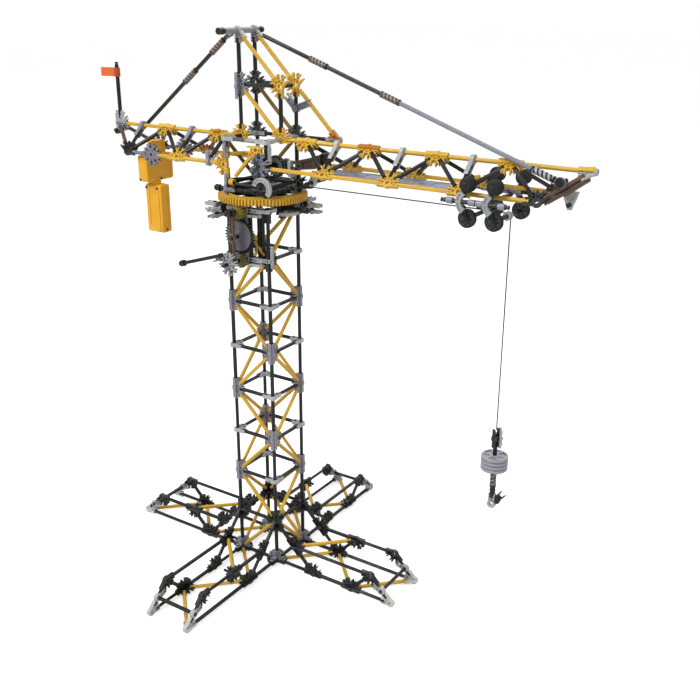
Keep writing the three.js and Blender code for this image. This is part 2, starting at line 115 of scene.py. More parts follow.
# ================================================================ pieces
# A piece collects every template of one kind that belongs to one CAD node.
pieces = {}


def put(node, kind, shape, axes, place, mat=None, tone=None):
    """Adds a template to a piece. The kind's last word names the material if mat doesn't."""
    name = f"{node}_{kind}"
    if name not in pieces:
        mat = mat or kind.rsplit("_", 1)[-1]
        pieces[name] = dict(node=node, mat=mat, verts=[], faces=[], tones=[], count=0)
    piece = pieces[name]
    verts, faces = shape
    turn = np.stack(axes)
    if np.linalg.det(turn) < 0:
        faces = [f[::-1] for f in faces]
    first = piece["count"]
    piece["verts"].append(verts @ turn + np.asarray(place, float))
    piece["faces"].extend(tuple(i + first for i in f) for f in faces)
    piece["count"] += len(verts)
    tone = rng.random() if tone is None else tone
    piece["tones"].append(np.full(len(verts), tone, np.float32))


def along(node, kind, shape, place, axis, shift=0.0, mat=None):
    """Puts a turned shape on an axis, moved along it by shift."""
    axes = axes_along(axis)
    put(node, kind, shape, axes, np.asarray(place, float) + axes[2] * shift, mat)


# ================================================================ flat outlines
def polar(r, degrees, cx=0.0, cy=0.0):
    t = math.radians(degrees)
    return cx + r * math.cos(t), cy + r * math.sin(t)


def arc(r, start, stop, n, cx=0.0, cy=0.0):
    return [polar(r, start + (stop - start) * i / (n - 1), cx, cy) for i in range(n)]


def circle(r, n, cx=0.0, cy=0.0):
    turns = [2 * math.pi * i / n for i in range(n)]
    return [(cx + r * math.cos(t), cy + r * math.sin(t)) for t in turns]


def rounded(x0, x1, y0, y1, r, n=5):
    """A rectangle with rounded corners."""
    corners = ((x1 - r, y1 - r, 0), (x0 + r, y1 - r, 90), (x0 + r, y0 + r, 180),
               (x1 - r, y0 + r, 270))
    return [p for cx, cy, a in corners for p in arc(r, a, a + 90, n, cx, cy)]


def band(outer, inner, start, stop, n, n_inner=None):
    """Part of a ring between two angles."""
    return arc(outer, start, stop, n) + arc(inner, stop, start, n_inner or n)


def windows(every, outer, inner):
    """Openings repeated round a circle; outer and inner are (radius, half angle, points)."""
    (ro, wo, no), (ri, wi, ni) = outer, inner
    return [arc(ro, a - wo, a + wo, no) + arc(ri, a + wi, a - wi, ni)
            for a in range(0, 360, every)]


def eyed_bar(centres, r, half_width):
    """A bar along x with a round eye at each centre."""
    a = math.degrees(math.asin(half_width / r))
    points = arc(r, a - 180, 180 - a, 16, centres[-1])
    for c in centres[-2:0:-1]:
        points += arc(r, a, 180 - a, 8, c)
    points += arc(r, a, 360 - a, 16, centres[0])
    for c in centres[1:-1]:
        points += arc(r, 180 + a, 360 - a, 8, c)
    return points


def ccw(poly):
    """The outline as an array that runs anticlockwise."""
    poly = np.asarray(poly, float)
    x, y = poly[:, 0], poly[:, 1]
    area = 0.5 * float(np.sum(x * np.roll(y, -1) - np.roll(x, -1) * y))
    return poly if area > 0 else poly[::-1]


def inset(poly, distance):
    e1, e2 = poly - np.roll(poly, 1, 0), np.roll(poly, -1, 0) - poly
    e1 /= np.linalg.norm(e1, axis=1)[:, None] + 1e-12
    e2 /= np.linalg.norm(e2, axis=1)[:, None] + 1e-12
    n1 = np.stack([-e1[:, 1], e1[:, 0]], 1)
    normal = n1 + np.stack([-e2[:, 1], e2[:, 0]], 1)
    normal /= np.linalg.norm(normal, axis=1)[:, None] + 1e-12
    mitre = np.clip(np.sum(normal * n1, 1), 0.5, 1)
    return poly + normal * (distance / mitre)[:, None]


def triangles(polys):
    """Anticlockwise triangles that fill the first outline and leave out the rest."""
    flat = np.concatenate(polys)
    out = []
    for t in tessellate_polygon([[Vector((p[0], p[1], 0)) for p in q] for q in polys]):
        a, b, c = (flat[i] for i in t)
        s = (b[0] - a[0]) * (c[1] - a[1]) - (b[1] - a[1]) * (c[0] - a[0])
        if abs(s) >= 1e-9:
            out.append(tuple(t) if s > 0 else (t[0], t[2], t[1]))
    return out


# ================================================================ solid templates
def wall(faces, low, high):
    """Quads between two rings of vertex numbers."""
    for i in range(len(low)):
        j = (i + 1) % len(low)
        faces.append((low[i], low[j], high[j], high[i]))


def tube_faces(rows, n, first=0):
    """Walls round a stack of n-point rings, and a cap at each end."""
    rings = [range(first + k * n, first + (k + 1) * n) for k in range(rows)]
    faces = []
    for low, high in zip(rings, rings[1:]):
        wall(faces, low, high)
    return faces + [tuple(rings[0])[::-1], tuple(rings[-1])]


def outward(verts, faces):
    """Flips a closed shell that came out inside out."""
    volume = 0.0
    for f in faces:
        for i in range(1, len(f) - 1):
            volume += float(np.dot(verts[f[0]], np.cross(verts[f[i]], verts[f[i + 1]])))
    return verts, (faces if volume > 0 else [f[::-1] for f in faces])


def slab(outline, holes=(), pockets=(), half=3.0, bevel=0.3, steps=1, depth=1.5):
    """A flat shape from z = -half to half, with rounded outer edges, through holes and
    shallow pockets on both faces."""
    outline = ccw(outline)
    holes = [ccw(h) for h in holes]
    pockets = [ccw(h) for h in pockets]
    verts, faces = [], []

    def ring(poly, z):
        first = len(verts)
        verts.extend([(p[0], p[1], z) for p in poly])
        return list(range(first, len(verts)))

    stack = []
    for i in range(steps + 1):
        t = (i / steps) * math.pi / 2
        stack.append((inset(outline, bevel * (1 - math.sin(t))),
                      -half + bevel * (1 - math.cos(t))))
    stack += [(poly, -z) for poly, z in reversed(stack)]
    rings = [ring(poly, z) for poly, z in stack]
    for low, high in zip(rings, rings[1:]):
        wall(faces, low, high)
    caps = triangles([stack[0][0]] + holes + pockets)
    hole_rings = []
    for side in (-1, 1):
        turn = side  # a step of -1 reverses the faces of the lower side
        points = list(rings[-1] if side > 0 else rings[0])
        edges = [ring(h, side * half) for h in holes]
        hole_rings.append(edges)
        for edge in edges:
            points += edge
        for pocket in pockets:
            mouth = ring(pocket, side * half)
            points += mouth
            bottom = ring(pocket, side * (half - depth))
            wall(faces, *((mouth, bottom)[::turn]))
            for t in triangles([pocket]):
                faces.append(tuple(bottom[i] for i in t[::turn]))
        for t in caps:
            faces.append(tuple(points[i] for i in t[::turn]))
    for low, high in zip(*hole_rings):
        wall(faces, high, low)
    return np.array(verts, float), faces


def lathe(profile, n=24, closed=False):
    """Turns (r, z) points about z. Open profiles start and end at r = 0; closed ones
    make a ring."""
    verts, rows, faces = [], [], []
    for r, z in profile:
        first = len(verts)
        if r < 1e-6 and not closed:
            verts.append((0, 0, z))
        else:
            verts += [(x, y, z) for x, y in circle(r, n)]
        rows.append(list(range(first, len(verts))))
    for a, b in list(zip(rows, rows[1:])) + ([(rows[-1], rows[0])] if closed else []):
        if len(a) == 1:
            faces += [(b[(i + 1) % n], b[i], a[0]) for i in range(n)]
        elif len(b) == 1:
            faces += [(a[i], a[(i + 1) % n], b[0]) for i in range(n)]
        else:
            wall(faces, a, b)
    return outward(np.array(verts, float), faces)


def lathe_ring(profile, n=24):
    return lathe(profile, n, closed=True)


def sleeve(bore, r, z0, z1, cut=0.4, rise=0.4, n=24):
    """A tube whose outer edges are chamfered by cut across and rise along."""
    return lathe_ring([(bore, z0), (r - cut, z0), (r, z0 + rise), (r, z1 - rise),
                       (r - cut, z1), (bore, z1)], n)


# ---- rods: a round button and a neck at each end, four grooves along the body
FLUTED = [1.0, 0.985, 0.875, 0.70, 0.875, 0.985] * 4
ROUND = [1.0] * len(FLUTED)
# distance from the end, radius, section
ROD_END = [(0, 2.45, ROUND), (0.45, 3.05, ROUND), (1.6, 3.05, ROUND), (1.9, 2.15, ROUND),
           (3.7, 2.15, ROUND), (4.0, 3.05, ROUND), (5.4, 3.1, ROUND), (6.0, 3.1, FLUTED)]
STUB_END = [(0, 2.5, ROUND), (0.35, 3.0, ROUND), (1.8, 3.05, ROUND)]
SHORTEST_FLUTED = 16
rod_shapes = {}  # rods of nearly equal length share one shape


def rod_shape(length):
    key = round(length, 1)
    if key not in rod_shapes:
        end = STUB_END if length < SHORTEST_FLUTED else ROD_END
        rows = end + [(length - z, r, section) for z, r, section in reversed(end)]
        verts = []
        for z, r, section in rows:
            for i, scale in enumerate(section):
                x, y = polar(r * scale, 15 * i)
                verts.append((x, y, z))
        rod_shapes[key] = np.array(verts, float), tube_faces(len(rows), len(FLUTED))
    return rod_shapes[key]


def rod(node, start, end, mat="black", gap_a=GAP, gap_b=GAP, kind="rods", roll=None):
    """A rod between two places, stopping short of each by a gap."""
    start, end = np.asarray(start, float), np.asarray(end, float)
    way = unit(end - start)
    start, end = start + way * gap_a, end - way * gap_b
    axes = axes_along(way, rng.choice([0, math.pi / 4]) if roll is None else roll)
    put(node, f"{kind}_{mat}", rod_shape(float(np.linalg.norm(end - start))), axes, start)


def shaft(node, start, end, mat="black", **more):
    """A rod that runs exactly from start to end."""
    rod(node, start, end, mat, 0, 0, **more)


def axle(node, start, end, **more):
    """A shaft with its grooves turned to 45 degrees."""
    shaft(node, start, end, roll=math.pi / 4, **more)


# ---- connectors: a hub with slots at multiples of 45 degrees, each between two prongs
FAN = [-90, -45, 0, 45, 90]
ARCH = [0, 45, 90, 135, 180]
FULL = [0, 45, 90, 135, 180, 225, 270, 315]
PRONG_Y = 4.85  # outer side of a prong, from the middle of its slot
HUB_R = 6.6
# x outward, y across: one prong from its outer root round its tip to the slot's bottom
PRONG = [(12.7, -PRONG_Y), (15.4, -5.0), (16.7, -4.75), (17.25, -4.1), (17.1, -3.35),
         (14.9, -3.2), (14.2, -2.5), (12.9, -2.5), (12.2, -3.2), (10.4, -3.2), (9.6, -2.4)]
connector_shapes = {}


def turned(points, degrees):
    c, s = math.cos(math.radians(degrees)), math.sin(math.radians(degrees))
    return [(x * c - y * s, x * s + y * c) for x, y in points]


def connector_outline(angles, reach):
    angles = sorted(angles)
    points = []
    for angle, following in zip(angles, angles[1:] + [angles[0] + 360]):
        prong = [(x + reach, y) for x, y in PRONG]
        points += turned(prong + [(x, -y) for x, y in reversed(prong)], angle)
        gap = following - angle
        middle = angle + gap / 2
        if gap < 60 and reach == 0:
            points.append(polar(12.35, middle))
        elif gap <= 120 and reach == 0:
            r = PRONG_Y / math.sin(math.radians(gap) / 2)
            for step, bulge in ((-12, 0.6), (0, 0.18), (12, 0.6)):
                points.append(polar(r + bulge, middle + step))
        else:
            off = math.degrees(math.asin(PRONG_Y / HUB_R))
            start, stop = angle + off, following - off
            points += arc(HUB_R, start, stop, max(2, int((stop - start) / 18) + 1))
    return points


def connector_shape(angles, reach, thick):
    key = (tuple(sorted(angles)), reach, thick)
    if key not in connector_shapes:
        pockets = []
        for a in angles:
            if reach > 4:
                x = 8.4 + reach
                pockets.append(turned([(7.0, -2.9), (x, -2.9), (x, 2.9), (7.0, 2.9)], a))
            else:
                w = 15 if len(angles) > 1 else 22
                pockets.append(band(8.5 + reach, 5.3, a - w, a + w, 4))
        connector_shapes[key] = slab(connector_outline(angles, reach), [circle(3.25, 16)],
                                     pockets, thick / 2, 0.32, 1, min(1.6, thick * 0.27))
    return connector_shapes[key]


def conn(node, place, u, v, angles, mat, reach=0.0, thick=6.0):
    """A connector in the plane of u and v; its angles run from u towards v."""
    u = unit(u)
    v = np.asarray(v, float)
    v = unit(v - u * np.dot(u, v))
    shape = connector_shape(angles, reach, thick)
    put(node, f"connectors_{mat}", shape, (u, v, np.cross(u, v)), place)


def clip(node, place, axis, toward, mat="lightgrey", reach=0.0, thick=6.0):
    """A one-slot connector that turns on a rod along axis and looks toward a direction."""
    w = unit(axis)
    u = np.asarray(toward, float)
    u = unit(u - w * np.dot(u, w))
    conn(node, place, u, np.cross(w, u), [0], mat, reach, thick)


# ---- couplers, collars and caps
def coupler_shape(length, r=4.5):
    """A cylinder with two raised spirals between plain ends."""
    n, steps = 28, 40
    verts = []
    for k in range(steps + 1):
        z = length * k / steps
        to_end = min(z, length - z)
        for i in range(n):
            a = 2 * math.pi * i / n
            if to_end < 2.2:
                rr = r + 0.25 if to_end > 0.3 else r - 0.3
            else:
                wave = 2.6 * math.sin(2 * a - z * 0.98)
                rr = r - 0.25 + 0.35 * max(-1.0, min(1.0, wave))
            verts.append((rr * math.cos(a), rr * math.sin(a), z))
    return np.array(verts, float), tube_faces(steps + 1, n)


COLLAR = lathe_ring([(3.2, 0), (4.6, 0), (5.0, 0.4), (5.0, 2.6), (4.5, 3.0), (4.5, 5.0),
                     (5.0, 5.4), (5.0, 7.6), (4.6, 8), (3.2, 8)])
CAP = lathe([(0, 0), (3.4, 0), (4.3, 0.5), (4.6, 1.2), (4.6, 5.2), (4.2, 6), (3.4, 6.2),
             (2.2, 6.2), (1.9, 5.2), (0, 5.2)])


def collar(node, place, axis, mat="black"):
    along(node, f"collars_{mat}", COLLAR, place, axis)


# ---- gears
# One tooth: offset from the pitch radius, offset along the circle. None is the root.
TOOTH = [(None, -1.15), (-0.35, -0.78), (0.35, -0.6), (0.95, -0.36),
         (0.95, 0.36), (0.35, 0.6), (-0.35, 0.78), (None, 1.15)]


def gear(teeth, thick, hub, boss, root=1.5, phase=0.0):
    """A toothed disc with a hub that stands out by boss on both faces."""
    outline = []
    for i in range(teeth):
        a = phase + 2 * math.pi * i / teeth
        for rise, shift in TOOTH:
            r = TOOTH_R * teeth + (-root if rise is None else rise)
            t = a + shift / r
            outline.append((r * math.cos(t), r * math.sin(t)))
    bore = 2.6
    verts, faces = slab(outline, [circle(bore, 20)], (), thick / 2, 0.25)
    hub_verts, hub_faces = sleeve(bore, hub, -thick / 2 - boss, thick / 2 + boss)
    faces = faces + [tuple(i + len(verts) for i in f) for f in hub_faces]
    return np.concatenate([verts, hub_verts]), faces


def gear_face(r, n, openings, depth):
    return slab(circle(r, n), [circle(7.05, 24)], openings, 3.4, 0.4, 2, depth)


# ================================================================ the tower
# Corners are named left, front, right and back as seen from +X, -Y.
CORNERS = {"L": vec(-HALF, -HALF, 0), "F": vec(HALF, -HALF, 0),
           "R": vec(HALF, HALF, 0), "B": vec(-HALF, HALF, 0)}
SIDES = ["LF", "FR", "RB", "BL"]
TOWER_TOP = "tower_section_4"


def corner(name, z):
    return CORNERS[name] + Z_DIR * z


def inward(name):
    """The x and y directions from a corner into the tower."""
    x, y, _ = CORNERS[name]
    return vec(-np.sign(x), 0, 0), vec(0, -np.sign(y), 0)


def section(level):
    return "base_ring" if level == 0 else f"tower_section_{(level + 1) // 2}"


for level in range(9):
    node, z = section(level), level * PITCH
    for a, b in SIDES:
        rod(node, corner(a, z), corner(b, z))
    for name in CORNERS:
        place = corner(name, z)
        in_x, in_y = inward(name)
        if level == 0:
            for u in (in_x, in_y):
                conn(node, place + Z_DIR * 0.6, u, Z_DIR, ARCH, "lavender")
            conn(node, place, in_x, in_y, ARCH + [-45, -90], "black", thick=4.6)
        elif level == 1:
            for u in (in_x, in_y):
                conn(node, place, u, Z_DIR, [-135, -90, -45, 0, 45, 90], "black")
            conn(node, place, in_x, in_y, [0, 45, 90], "black", thick=4.6)
        elif (name in "LR") == (level % 2 == 0):
            for u in (in_x, in_y):
                conn(node, place, u, Z_DIR, FAN if level < 8 else [-90, -45, 0, 45],
                     "black" if (level, name) == (7, "F") else "lavender")
        else:
            conn(node, place, in_x, in_y, [0, 90], "lightgrey")
# uprights
for name in CORNERS:
    cuts = [0, 2, 4, 6, 8] if name in "LR" else [0, 1, 3, 5, 7, 8]
    for a, b in zip(cuts, cuts[1:]):
        through = name in "FB" and b == 8
        rod(section(b), corner(name, a * PITCH), corner(name, b * PITCH),
            gap_b=-3.4 if through else GAP)
    if name in "FB":
        conn(TOWER_TOP, corner(name, Z_PINION - 1), Z_DIR, inward(name)[0], [180], "black",
             thick=5)

# outward clips and spare arms round the top of the tower
node = TOWER_TOP
for name, out in (("L", -X_DIR), ("L", -Y_DIR), ("R", X_DIR), ("R", Y_DIR)):
    place = corner(name, Z_PINION)
    tip = place + out * 27
    across = np.cross(Z_DIR, out)
    conn(node, tip, out, across, [0], "lightgrey")
    conn(node, tip - Z_DIR * 9.5, out, across, [0, 180], "lightgrey", thick=4.6)
    shaft(node, tip - Z_DIR * 14, tip + Z_DIR * 4.2)
    shaft(node, place + out * 12, tip - out * 5.5)
    conn(node, place, out, Z_DIR, [0, -45, -90], "black", thick=5)
shaft(node, (-88, 0, Z_PINION), (88, 0, Z_PINION))
for s in (-1, 1):
    collar(node, (s * 76, 0, Z_PINION), X_DIR * s)
# half-round fans with a rim, two on the near face and one on the +X face
for place, u, v, angles in (((11, -HALF - 8.5, Z_PINION - 7.5), X_DIR, Y_DIR, ARCH),
                            ((11, -HALF - 8.5, Z_CRANK - 7.5), X_DIR, Y_DIR, ARCH),
                            ((HALF + 5, 2, 594), Y_DIR, X_DIR, FAN)):
    conn(node, place, u, v, angles, "lightgrey", thick=4.2)
    rim = band(18.6, 15.2, angles[0], angles[-1], 20)
    put(node, "rims_lightgrey", slab(rim, (), (), 2.6, 0.5, 2), FLAT, place)
WHEEL7 = [0, -45, -90, -135, 180]
conn(node, (HALF, 0, Z_PINION), Y_DIR, Z_DIR, WHEEL7, "black", thick=5)
conn(node, (0, HALF, Z_PINION), X_DIR, Z_DIR, WHEEL7, "black", thick=5)
shaft(node, (43.8, -HALF, 516), (43.8, -HALF, 549), "lightgrey")
for x in (20, 27.2):
    shaft(node, (x, -HALF + 1, 514), (x, -HALF + 1, 598.5))

# diagonals
for level in range(8):
    ring = "LFRB"
    for name in "LR" if level % 2 == 0 else "FB":
        i = ring.index(name)
        for other in (ring[(i + 1) % 4], ring[i - 1]):
            rod(f"tower_brace_{level // 2 + 1}", corner(name, level * PITCH),
                corner(other, (level + 1) * PITCH), "yellow")


# ================================================================ the legs
def leg(quarters, name):
    """One leg, drawn towards -Y and turned about z by quarter turns."""
    bars, brace = f"leg_frame_{name}", f"leg_brace_{name}"

    def turn(x, y, z=0.0):
        for _ in range(quarters):
            x, y = -y, x
        return vec(x, y, z)

    def at(x, pitches, z=0.0):
        return turn(x, -HALF - pitches * PITCH, z)

    out, across = turn(0, -1), turn(1, 0)
    clip_at = (2.775, 0.225 * PITCH)  # on the end slope, halfway less a little
    for x in (-HALF, HALF):
        rod(bars, at(x, 0, PITCH), at(x, 0.5, HALF))
        rod(bars, at(x, 0.5, HALF), at(x, 1))
        rod(bars, at(x, 2.5, HALF), at(x, 3))
        conn(bars, at(x, 0.5, HALF), out, Z_DIR, [-45, 0, 45, 90, 135], "black")
        if x > 0:
            rod(bars, at(x, 0.5, HALF), at(x, 1.5, HALF))
            rod(bars, at(x, 1.5, HALF), at(x, 2.5, HALF))
            rod(bars, at(x, 1.5, HALF), at(x, 1))
            conn(bars, at(x, 1.5, HALF), out, Z_DIR, WHEEL7, "black")
            joints = [0, 1, 3]
        else:
            rod(bars, at(x, 0.5, HALF), at(x, 2.5, HALF))
            rod(bars, at(x, 2.5, HALF), at(x, 2))
            joints = [0, 1, 2, 3]
        for a, b in zip(joints, joints[1:]):
            rod(bars, at(x, a), at(x, b))
        for joint in joints[1:-1]:
            conn(bars, at(x, joint, 0.6), out, Z_DIR, ARCH, "black")
        conn(bars, at(x, 2.5, HALF), out, Z_DIR, [-45, -90, -135, 180], "black")
        conn(bars, at(x, 3, 0.6), out, Z_DIR, [135, 180], "white")
        clip(bars, at(x, *clip_at), across, Z_DIR * 0.35 - out)
    rod(bars, at(-HALF, *clip_at), at(HALF, *clip_at), gap_a=-4.5, gap_b=-4.5)
    # diagonals of the floor plane and the upper plane
    for a, b, z in ((0, 1, 0), (2, 1, 0), (2, 3, 0), (0.5, 1.5, HALF)):
        if a > b:
            rod(brace, at(HALF, b, z), at(-HALF, a, z), "yellow")
        else:
            rod(brace, at(-HALF, a, z), at(HALF, b, z), "yellow")
    for s, pitches, z, angles, mat in ((1, 1, 0, FAN, "black"), (-1, 2, 0, FAN, "black"),
                                       (1, 3, 0, [-45, -90], "white"),
                                       (-1, 0.5, HALF, [0, 45, 90], "black"),
                                       (1, 1.5, HALF, [-90, -45, 0], "black")):
        conn(bars, at(s * HALF, pitches, z), -s * across, out, angles, mat, thick=4.6)


for quarters, name in enumerate(["front", "right", "back", "left"]):
    leg(quarters, name)

# ================================================================ the slewing drive
PLATE_Y = -45.6
STRUT_Y = -75.5
AXLE_Y = -41.9  # inner end of the three axles

node = "drive_bracket"
for z in (Z_CRANK, Z_PINION):
    for s in (-1, 1):
        clip(node, (s * HALF, -HALF, z), Z_DIR, (-s, -0.45, 0))
for x in (-11, 11):
    shaft(node, (x, PLATE_Y, Z_CRANK - 12), (x, PLATE_Y, Z_PINION + 8))
eyes = [0, HALF, PITCH]
eye_holes = [circle(3.5, 20, x) for x in eyes]
strut = slab(eyed_bar(eyes, 5.9, 3.3), eye_holes,
             [rounded(7.6, 30, -1.9, 1.9, 0.9, 3), rounded(45.2, 67.6, -1.9, 1.9, 0.9, 3)],
             2.6, 0.4, 2, 1.3)
put("drive_strut", "plate_bronze", strut, ON_Y, (0, STRUT_Y, Z_CRANK))
for z in (Z_CRANK, Z_PINION):
    put("drive_strut", "eyes_black", sleeve(3.5, 6.8, -3.1, 3.1, n=28), ON_Y,
        (0, STRUT_Y, z))
plate = slab(rounded(-9, 85, -6.4, 6.4, 5.8), eye_holes,
             [rounded(7, 30.6, -3.6, 3.6, 1.5, 3), rounded(44.6, 68.2, -3.6, 3.6, 1.5, 3)],
             3.0, 0.5, 2, 1.4)
put(node, "plate_lightgrey", plate, ON_Y, (0, PLATE_Y, Z_CRANK))
crossbar = slab(rounded(-33, 33, -3.2, 3.2, 3.0), (),
                [rounded(9, 29, -1.7, 1.7, 1, 3), rounded(-29, -9, -1.7, 1.7, 1, 3)],
                3, 0.4, 2, 1.2)
for z in (Z_CRANK, Z_PINION):
    put(node, "plate_lightgrey", crossbar, UPRIGHT, (0, PLATE_Y, z))

# pinion
node = "drive_pinion"
put(node, "gear_olive", gear(14, 11, 5.4, 1.0), ON_Y, (0, -60.5, Z_PINION))
axle(node, (0, AXLE_Y, Z_PINION), (0, -86, Z_PINION))
along(node, "cap_black", CAP, (0, -80.2, Z_PINION), -Y_DIR)

# spur gear
node = "spur_gear"
put(node, "gear_black", gear(34, 5, 7.0, 2.2, root=2.5, phase=math.pi / 34), ON_Y,
    (0, -58, Z_SPUR))
face = gear_face(22.6, 64, windows(60, (20.6, 24, 8), (9.6, 20, 5)), 0.45)
put(node, "gear_face_slate", face, ON_Y, (0, -58, Z_SPUR), "darkslate")
hub_face = lathe_ring([(3.3, 0), (6.9, 0), (7.3, 0.4), (7.3, 1.8), (6.9, 2.1), (3.3, 2.1)])
along(node, "gear_face_slate", hub_face, (0, -61.4, Z_SPUR), -Y_DIR)
axle(node, (0, AXLE_Y, Z_SPUR), (0, -81, Z_SPUR))

# crank
CRANK_Y = -87.0
node = "crank_hub"
put(node, "gear_olive", gear(14, 8, 5.4, 1.0), ON_Y, (0, -58, Z_CRANK), "darkolive")
axle(node, (0, AXLE_Y, Z_CRANK), (0, -99, Z_CRANK))
conn(node, (0, CRANK_Y, Z_CRANK), (-1, 0, 0.15), Z_DIR,
     [-90, -45, 0, 45, 90, 135, 180, 225], "lightgrey")
clip(node, (-13.5, CRANK_Y, Z_CRANK + 9), Y_DIR, (-1, 0, -0.3))
handle_root = vec(-6, CRANK_Y - 6.6, Z_CRANK + 14.5)
handle_tip = vec(-92, CRANK_Y - 6.6, Z_CRANK - 12)
shaft("crank_handle", handle_root, handle_tip)
along("crank_handle", "collar_black", COLLAR, handle_tip, handle_tip - handle_root, -11)


# ================================================================ the turning top
def crown_ring():
    """A ring whose lower edge steps down and out to make the teeth."""
    z_root = Z_PINION + TOOTH_R * 14 + 1.5
    z_tip = Z_PINION + TOOTH_R * 14 - 0.95
    step = 2 * math.pi / CROWN_TEETH
    verts, faces = [], []
    for i in range(CROWN_TEETH):
        middle = -math.pi / 2 + (i + 0.5) * step
        for shift, z, r in ((-0.33, z_root, 65.4), (-0.19, z_tip, 68.4),
                            (0.19, z_tip, 68.4), (0.33, z_root, 65.4)):
            c, s = math.cos(middle + shift * step), math.sin(middle + shift * step)
            profile = [(58.2, z), (r - 0.5, z), (r, z + 0.6), (r, 619.9), (67.0, 622.2),
                       (58.8, 622.2), (57.8, 621.2), (57.8, z_root + 0.3)]
            verts += [(rr * c, rr * s, zz) for rr, zz in profile]
    n, columns = len(profile), 4 * CROWN_TEETH
    for i in range(columns):
        here, there = i * n, (i + 1) % columns * n
        for q in range(n):
            r = (q + 1) % n
            faces.append((here + q, there + q, there + r, here + r))
    return outward(np.array(verts, float), faces)


node = "crown_gear"
put(node, "ring_crown", crown_ring(), FLAT, (0, 0, 0))
flange = lathe_ring([(49.8, 616.2), (58.4, 616.2), (58.4, 618.6), (53.2, 618.6),
                     (52.6, 621.8), (51.8, 622.3), (50.3, 622.3), (49.8, 621.8)], 96)
put(node, "ring_crown", flange, FLAT, (0, 0, 0))
crown_rib = slab(rounded(51.5, 59, -1.3, 1.3, 0.6, 3), half=2.5)
for i in range(8):
    put(node, "ring_crown", crown_rib, axes_spun(22.5 + 45 * i), (0, 0, 619.1), tone=0.5)

# turntable
node = "turntable_frame"
for a, b in SIDES:
    rod(node, corner(a, Z_LOW), corner(b, Z_LOW))
rod(node, (-HALF, 0, Z_LOW), (HALF, 0, Z_LOW), gap_a=3.3, gap_b=3.3)
rod(node, (0, -HALF, Z_LOW), (0, HALF, Z_LOW), gap_a=3.3, gap_b=3.3)
z = Z_LOW - 8
conn(node, (0, 0, z), X_DIR, Y_DIR, FULL, "black")
for i in range(8):
    spoke = axes_spun(45 * i)[0] * np.ones(3)
    shaft(node, spoke * GAP + Z_DIR * z, spoke * 49.3 + Z_DIR * z)
for t in (-22, 22):
    shaft(node, (-43, t, Z_LOW - 1.2), (43, t, Z_LOW - 1.2))
    shaft(node, (t, -43, Z_LOW + 5.2), (t, 43, Z_LOW + 5.2))
for first, second in SIDES:
    a, b = corner(first, Z_LOW + 8.6), corner(second, Z_LOW + 8.6)
    rod(node, a, b, "black", 4.4, 4.4)
    middle = (a + b) / 2 - Z_DIR * 8.6
    conn(node, middle, b - a, -middle * (1, 1, 0), ARCH, "black", thick=5)
rod(node, (-63, -HALF, Z_LOW), (-HALF, -HALF, Z_LOW), "black", 0, 6)
collar(node, (-60, -HALF, Z_LOW), X_DIR)
conn(node, (HALF, HALF, Z_LOW + 7), X_DIR, Z_DIR, [-45, 0, 45], "black")
conn(node, (HALF + 22, HALF, Z_LOW + 2), X_DIR, Y_DIR, [180, 135, -135], "black", thick=5)
conn(node, (HALF, HALF - 9.5, Z_LOW + 9), Z_DIR, Y_DIR, [0, 180], "lightgrey", thick=5)
for name in CORNERS:
    conn(node, corner(name, Z_LOW), *inward(name), [0, 45, 90],
         "black" if name in "FB" else "lavender")
    collar(node, corner(name, Z_LOW - 8), Z_DIR)

# cab
node = "cab_frame"
post_top = Z_TOP + 3.4
for name in CORNERS:
    in_x, in_y = inward(name)
    if name == "L":
        rod(node, corner(name, Z_LOW), corner(name, 641), "black", 0, 0.4)
        rod(node, corner(name, 641), corner(name, 690), "yellow", 0.2, 0.2)
        rod(node, corner(name, 690), corner(name, post_top), "black", 0.4, 0)
        for z in (633, 690):
            conn(node, corner(name, z), Z_DIR, Y_DIR, [0, 180], "lavender", thick=5)
        conn(node, (-HALF - 3.2, -HALF - 1, 664), (-1, 0, 0.1), Z_DIR, FAN, "yellow")
        collar(node, corner(name, 651), Z_DIR, "yellow")
    else:
        shaft(node, corner(name, Z_LOW), corner(name, post_top))
        conn(node, corner(name, Z_LOW + 8), Z_DIR, in_x, [0, 180],
             "lightgrey" if name == "R" else "black", thick=5)
    conn(node, corner(name, Z_TOP), in_x, in_y, [0, 90], "lightgrey")
near_middle = (0, -HALF, Z_TOP)
rod(node, corner("L", Z_TOP), near_middle, "darkslate", GAP, 0)
rod(node, near_middle, corner("F", Z_TOP), "lightgrey", 0, GAP)
for (a, b), mat in zip(SIDES[1:], ("lightgrey", "black", "black")):
    rod(node, corner(a, Z_TOP), corner(b, Z_TOP), mat)

node = "cab_brace"
# the two rods from the back corner use the yellow darkened as painted shade
for name in "LR":
    rod(node, corner("B", Z_LOW), corner(name, Z_TOP), "shadedyellow")
for name in "BR":
    conn(node, corner(name, Z_LOW + 1), inward(name)[0], Z_DIR, [0, 45, 90], "darkgrey",
         thick=5)
rod(node, corner("L", 680), (-8, -8, 680), "yellow", 5, 0)
rod(node, (-21, -HALF, 648.5), (20, -HALF, 690), "yellow", 0, 9.6)
conn(node, (20, -HALF, 690), -X_DIR, -Z_DIR, ARCH, "yellow")
rod(node, corner("L", 641), (6, 14, 641), "black", 6, 0)
collar(node, (-HALF + 7, -HALF - 2, 638.5), (1, 0, 0.05), "yellow")
conn(node, (30, -HALF - 6.2, 669), X_DIR, Z_DIR, FULL, "lavender", thick=4.4)
conn(node, (31, -HALF - 1, 669), (0.5, 1, 0), Z_DIR, FULL, "darkgrey", thick=4.4)
shaft(node, (30, -HALF - 10, 669), (30, 14, 669))
conn(node, (24, -HALF - 4, 652), X_DIR, Z_DIR, [0, 45, 90, 135], "darkgrey", thick=4.4)
arch = slab(arc(16.6, -40, 165, 20) + arc(10.2, 165, -40, 18), (),
            [band(14.6, 12.2, -30, 60, 8), band(14.6, 12.2, 68, 155, 8)], 3, 0.5, 2, 1.2)
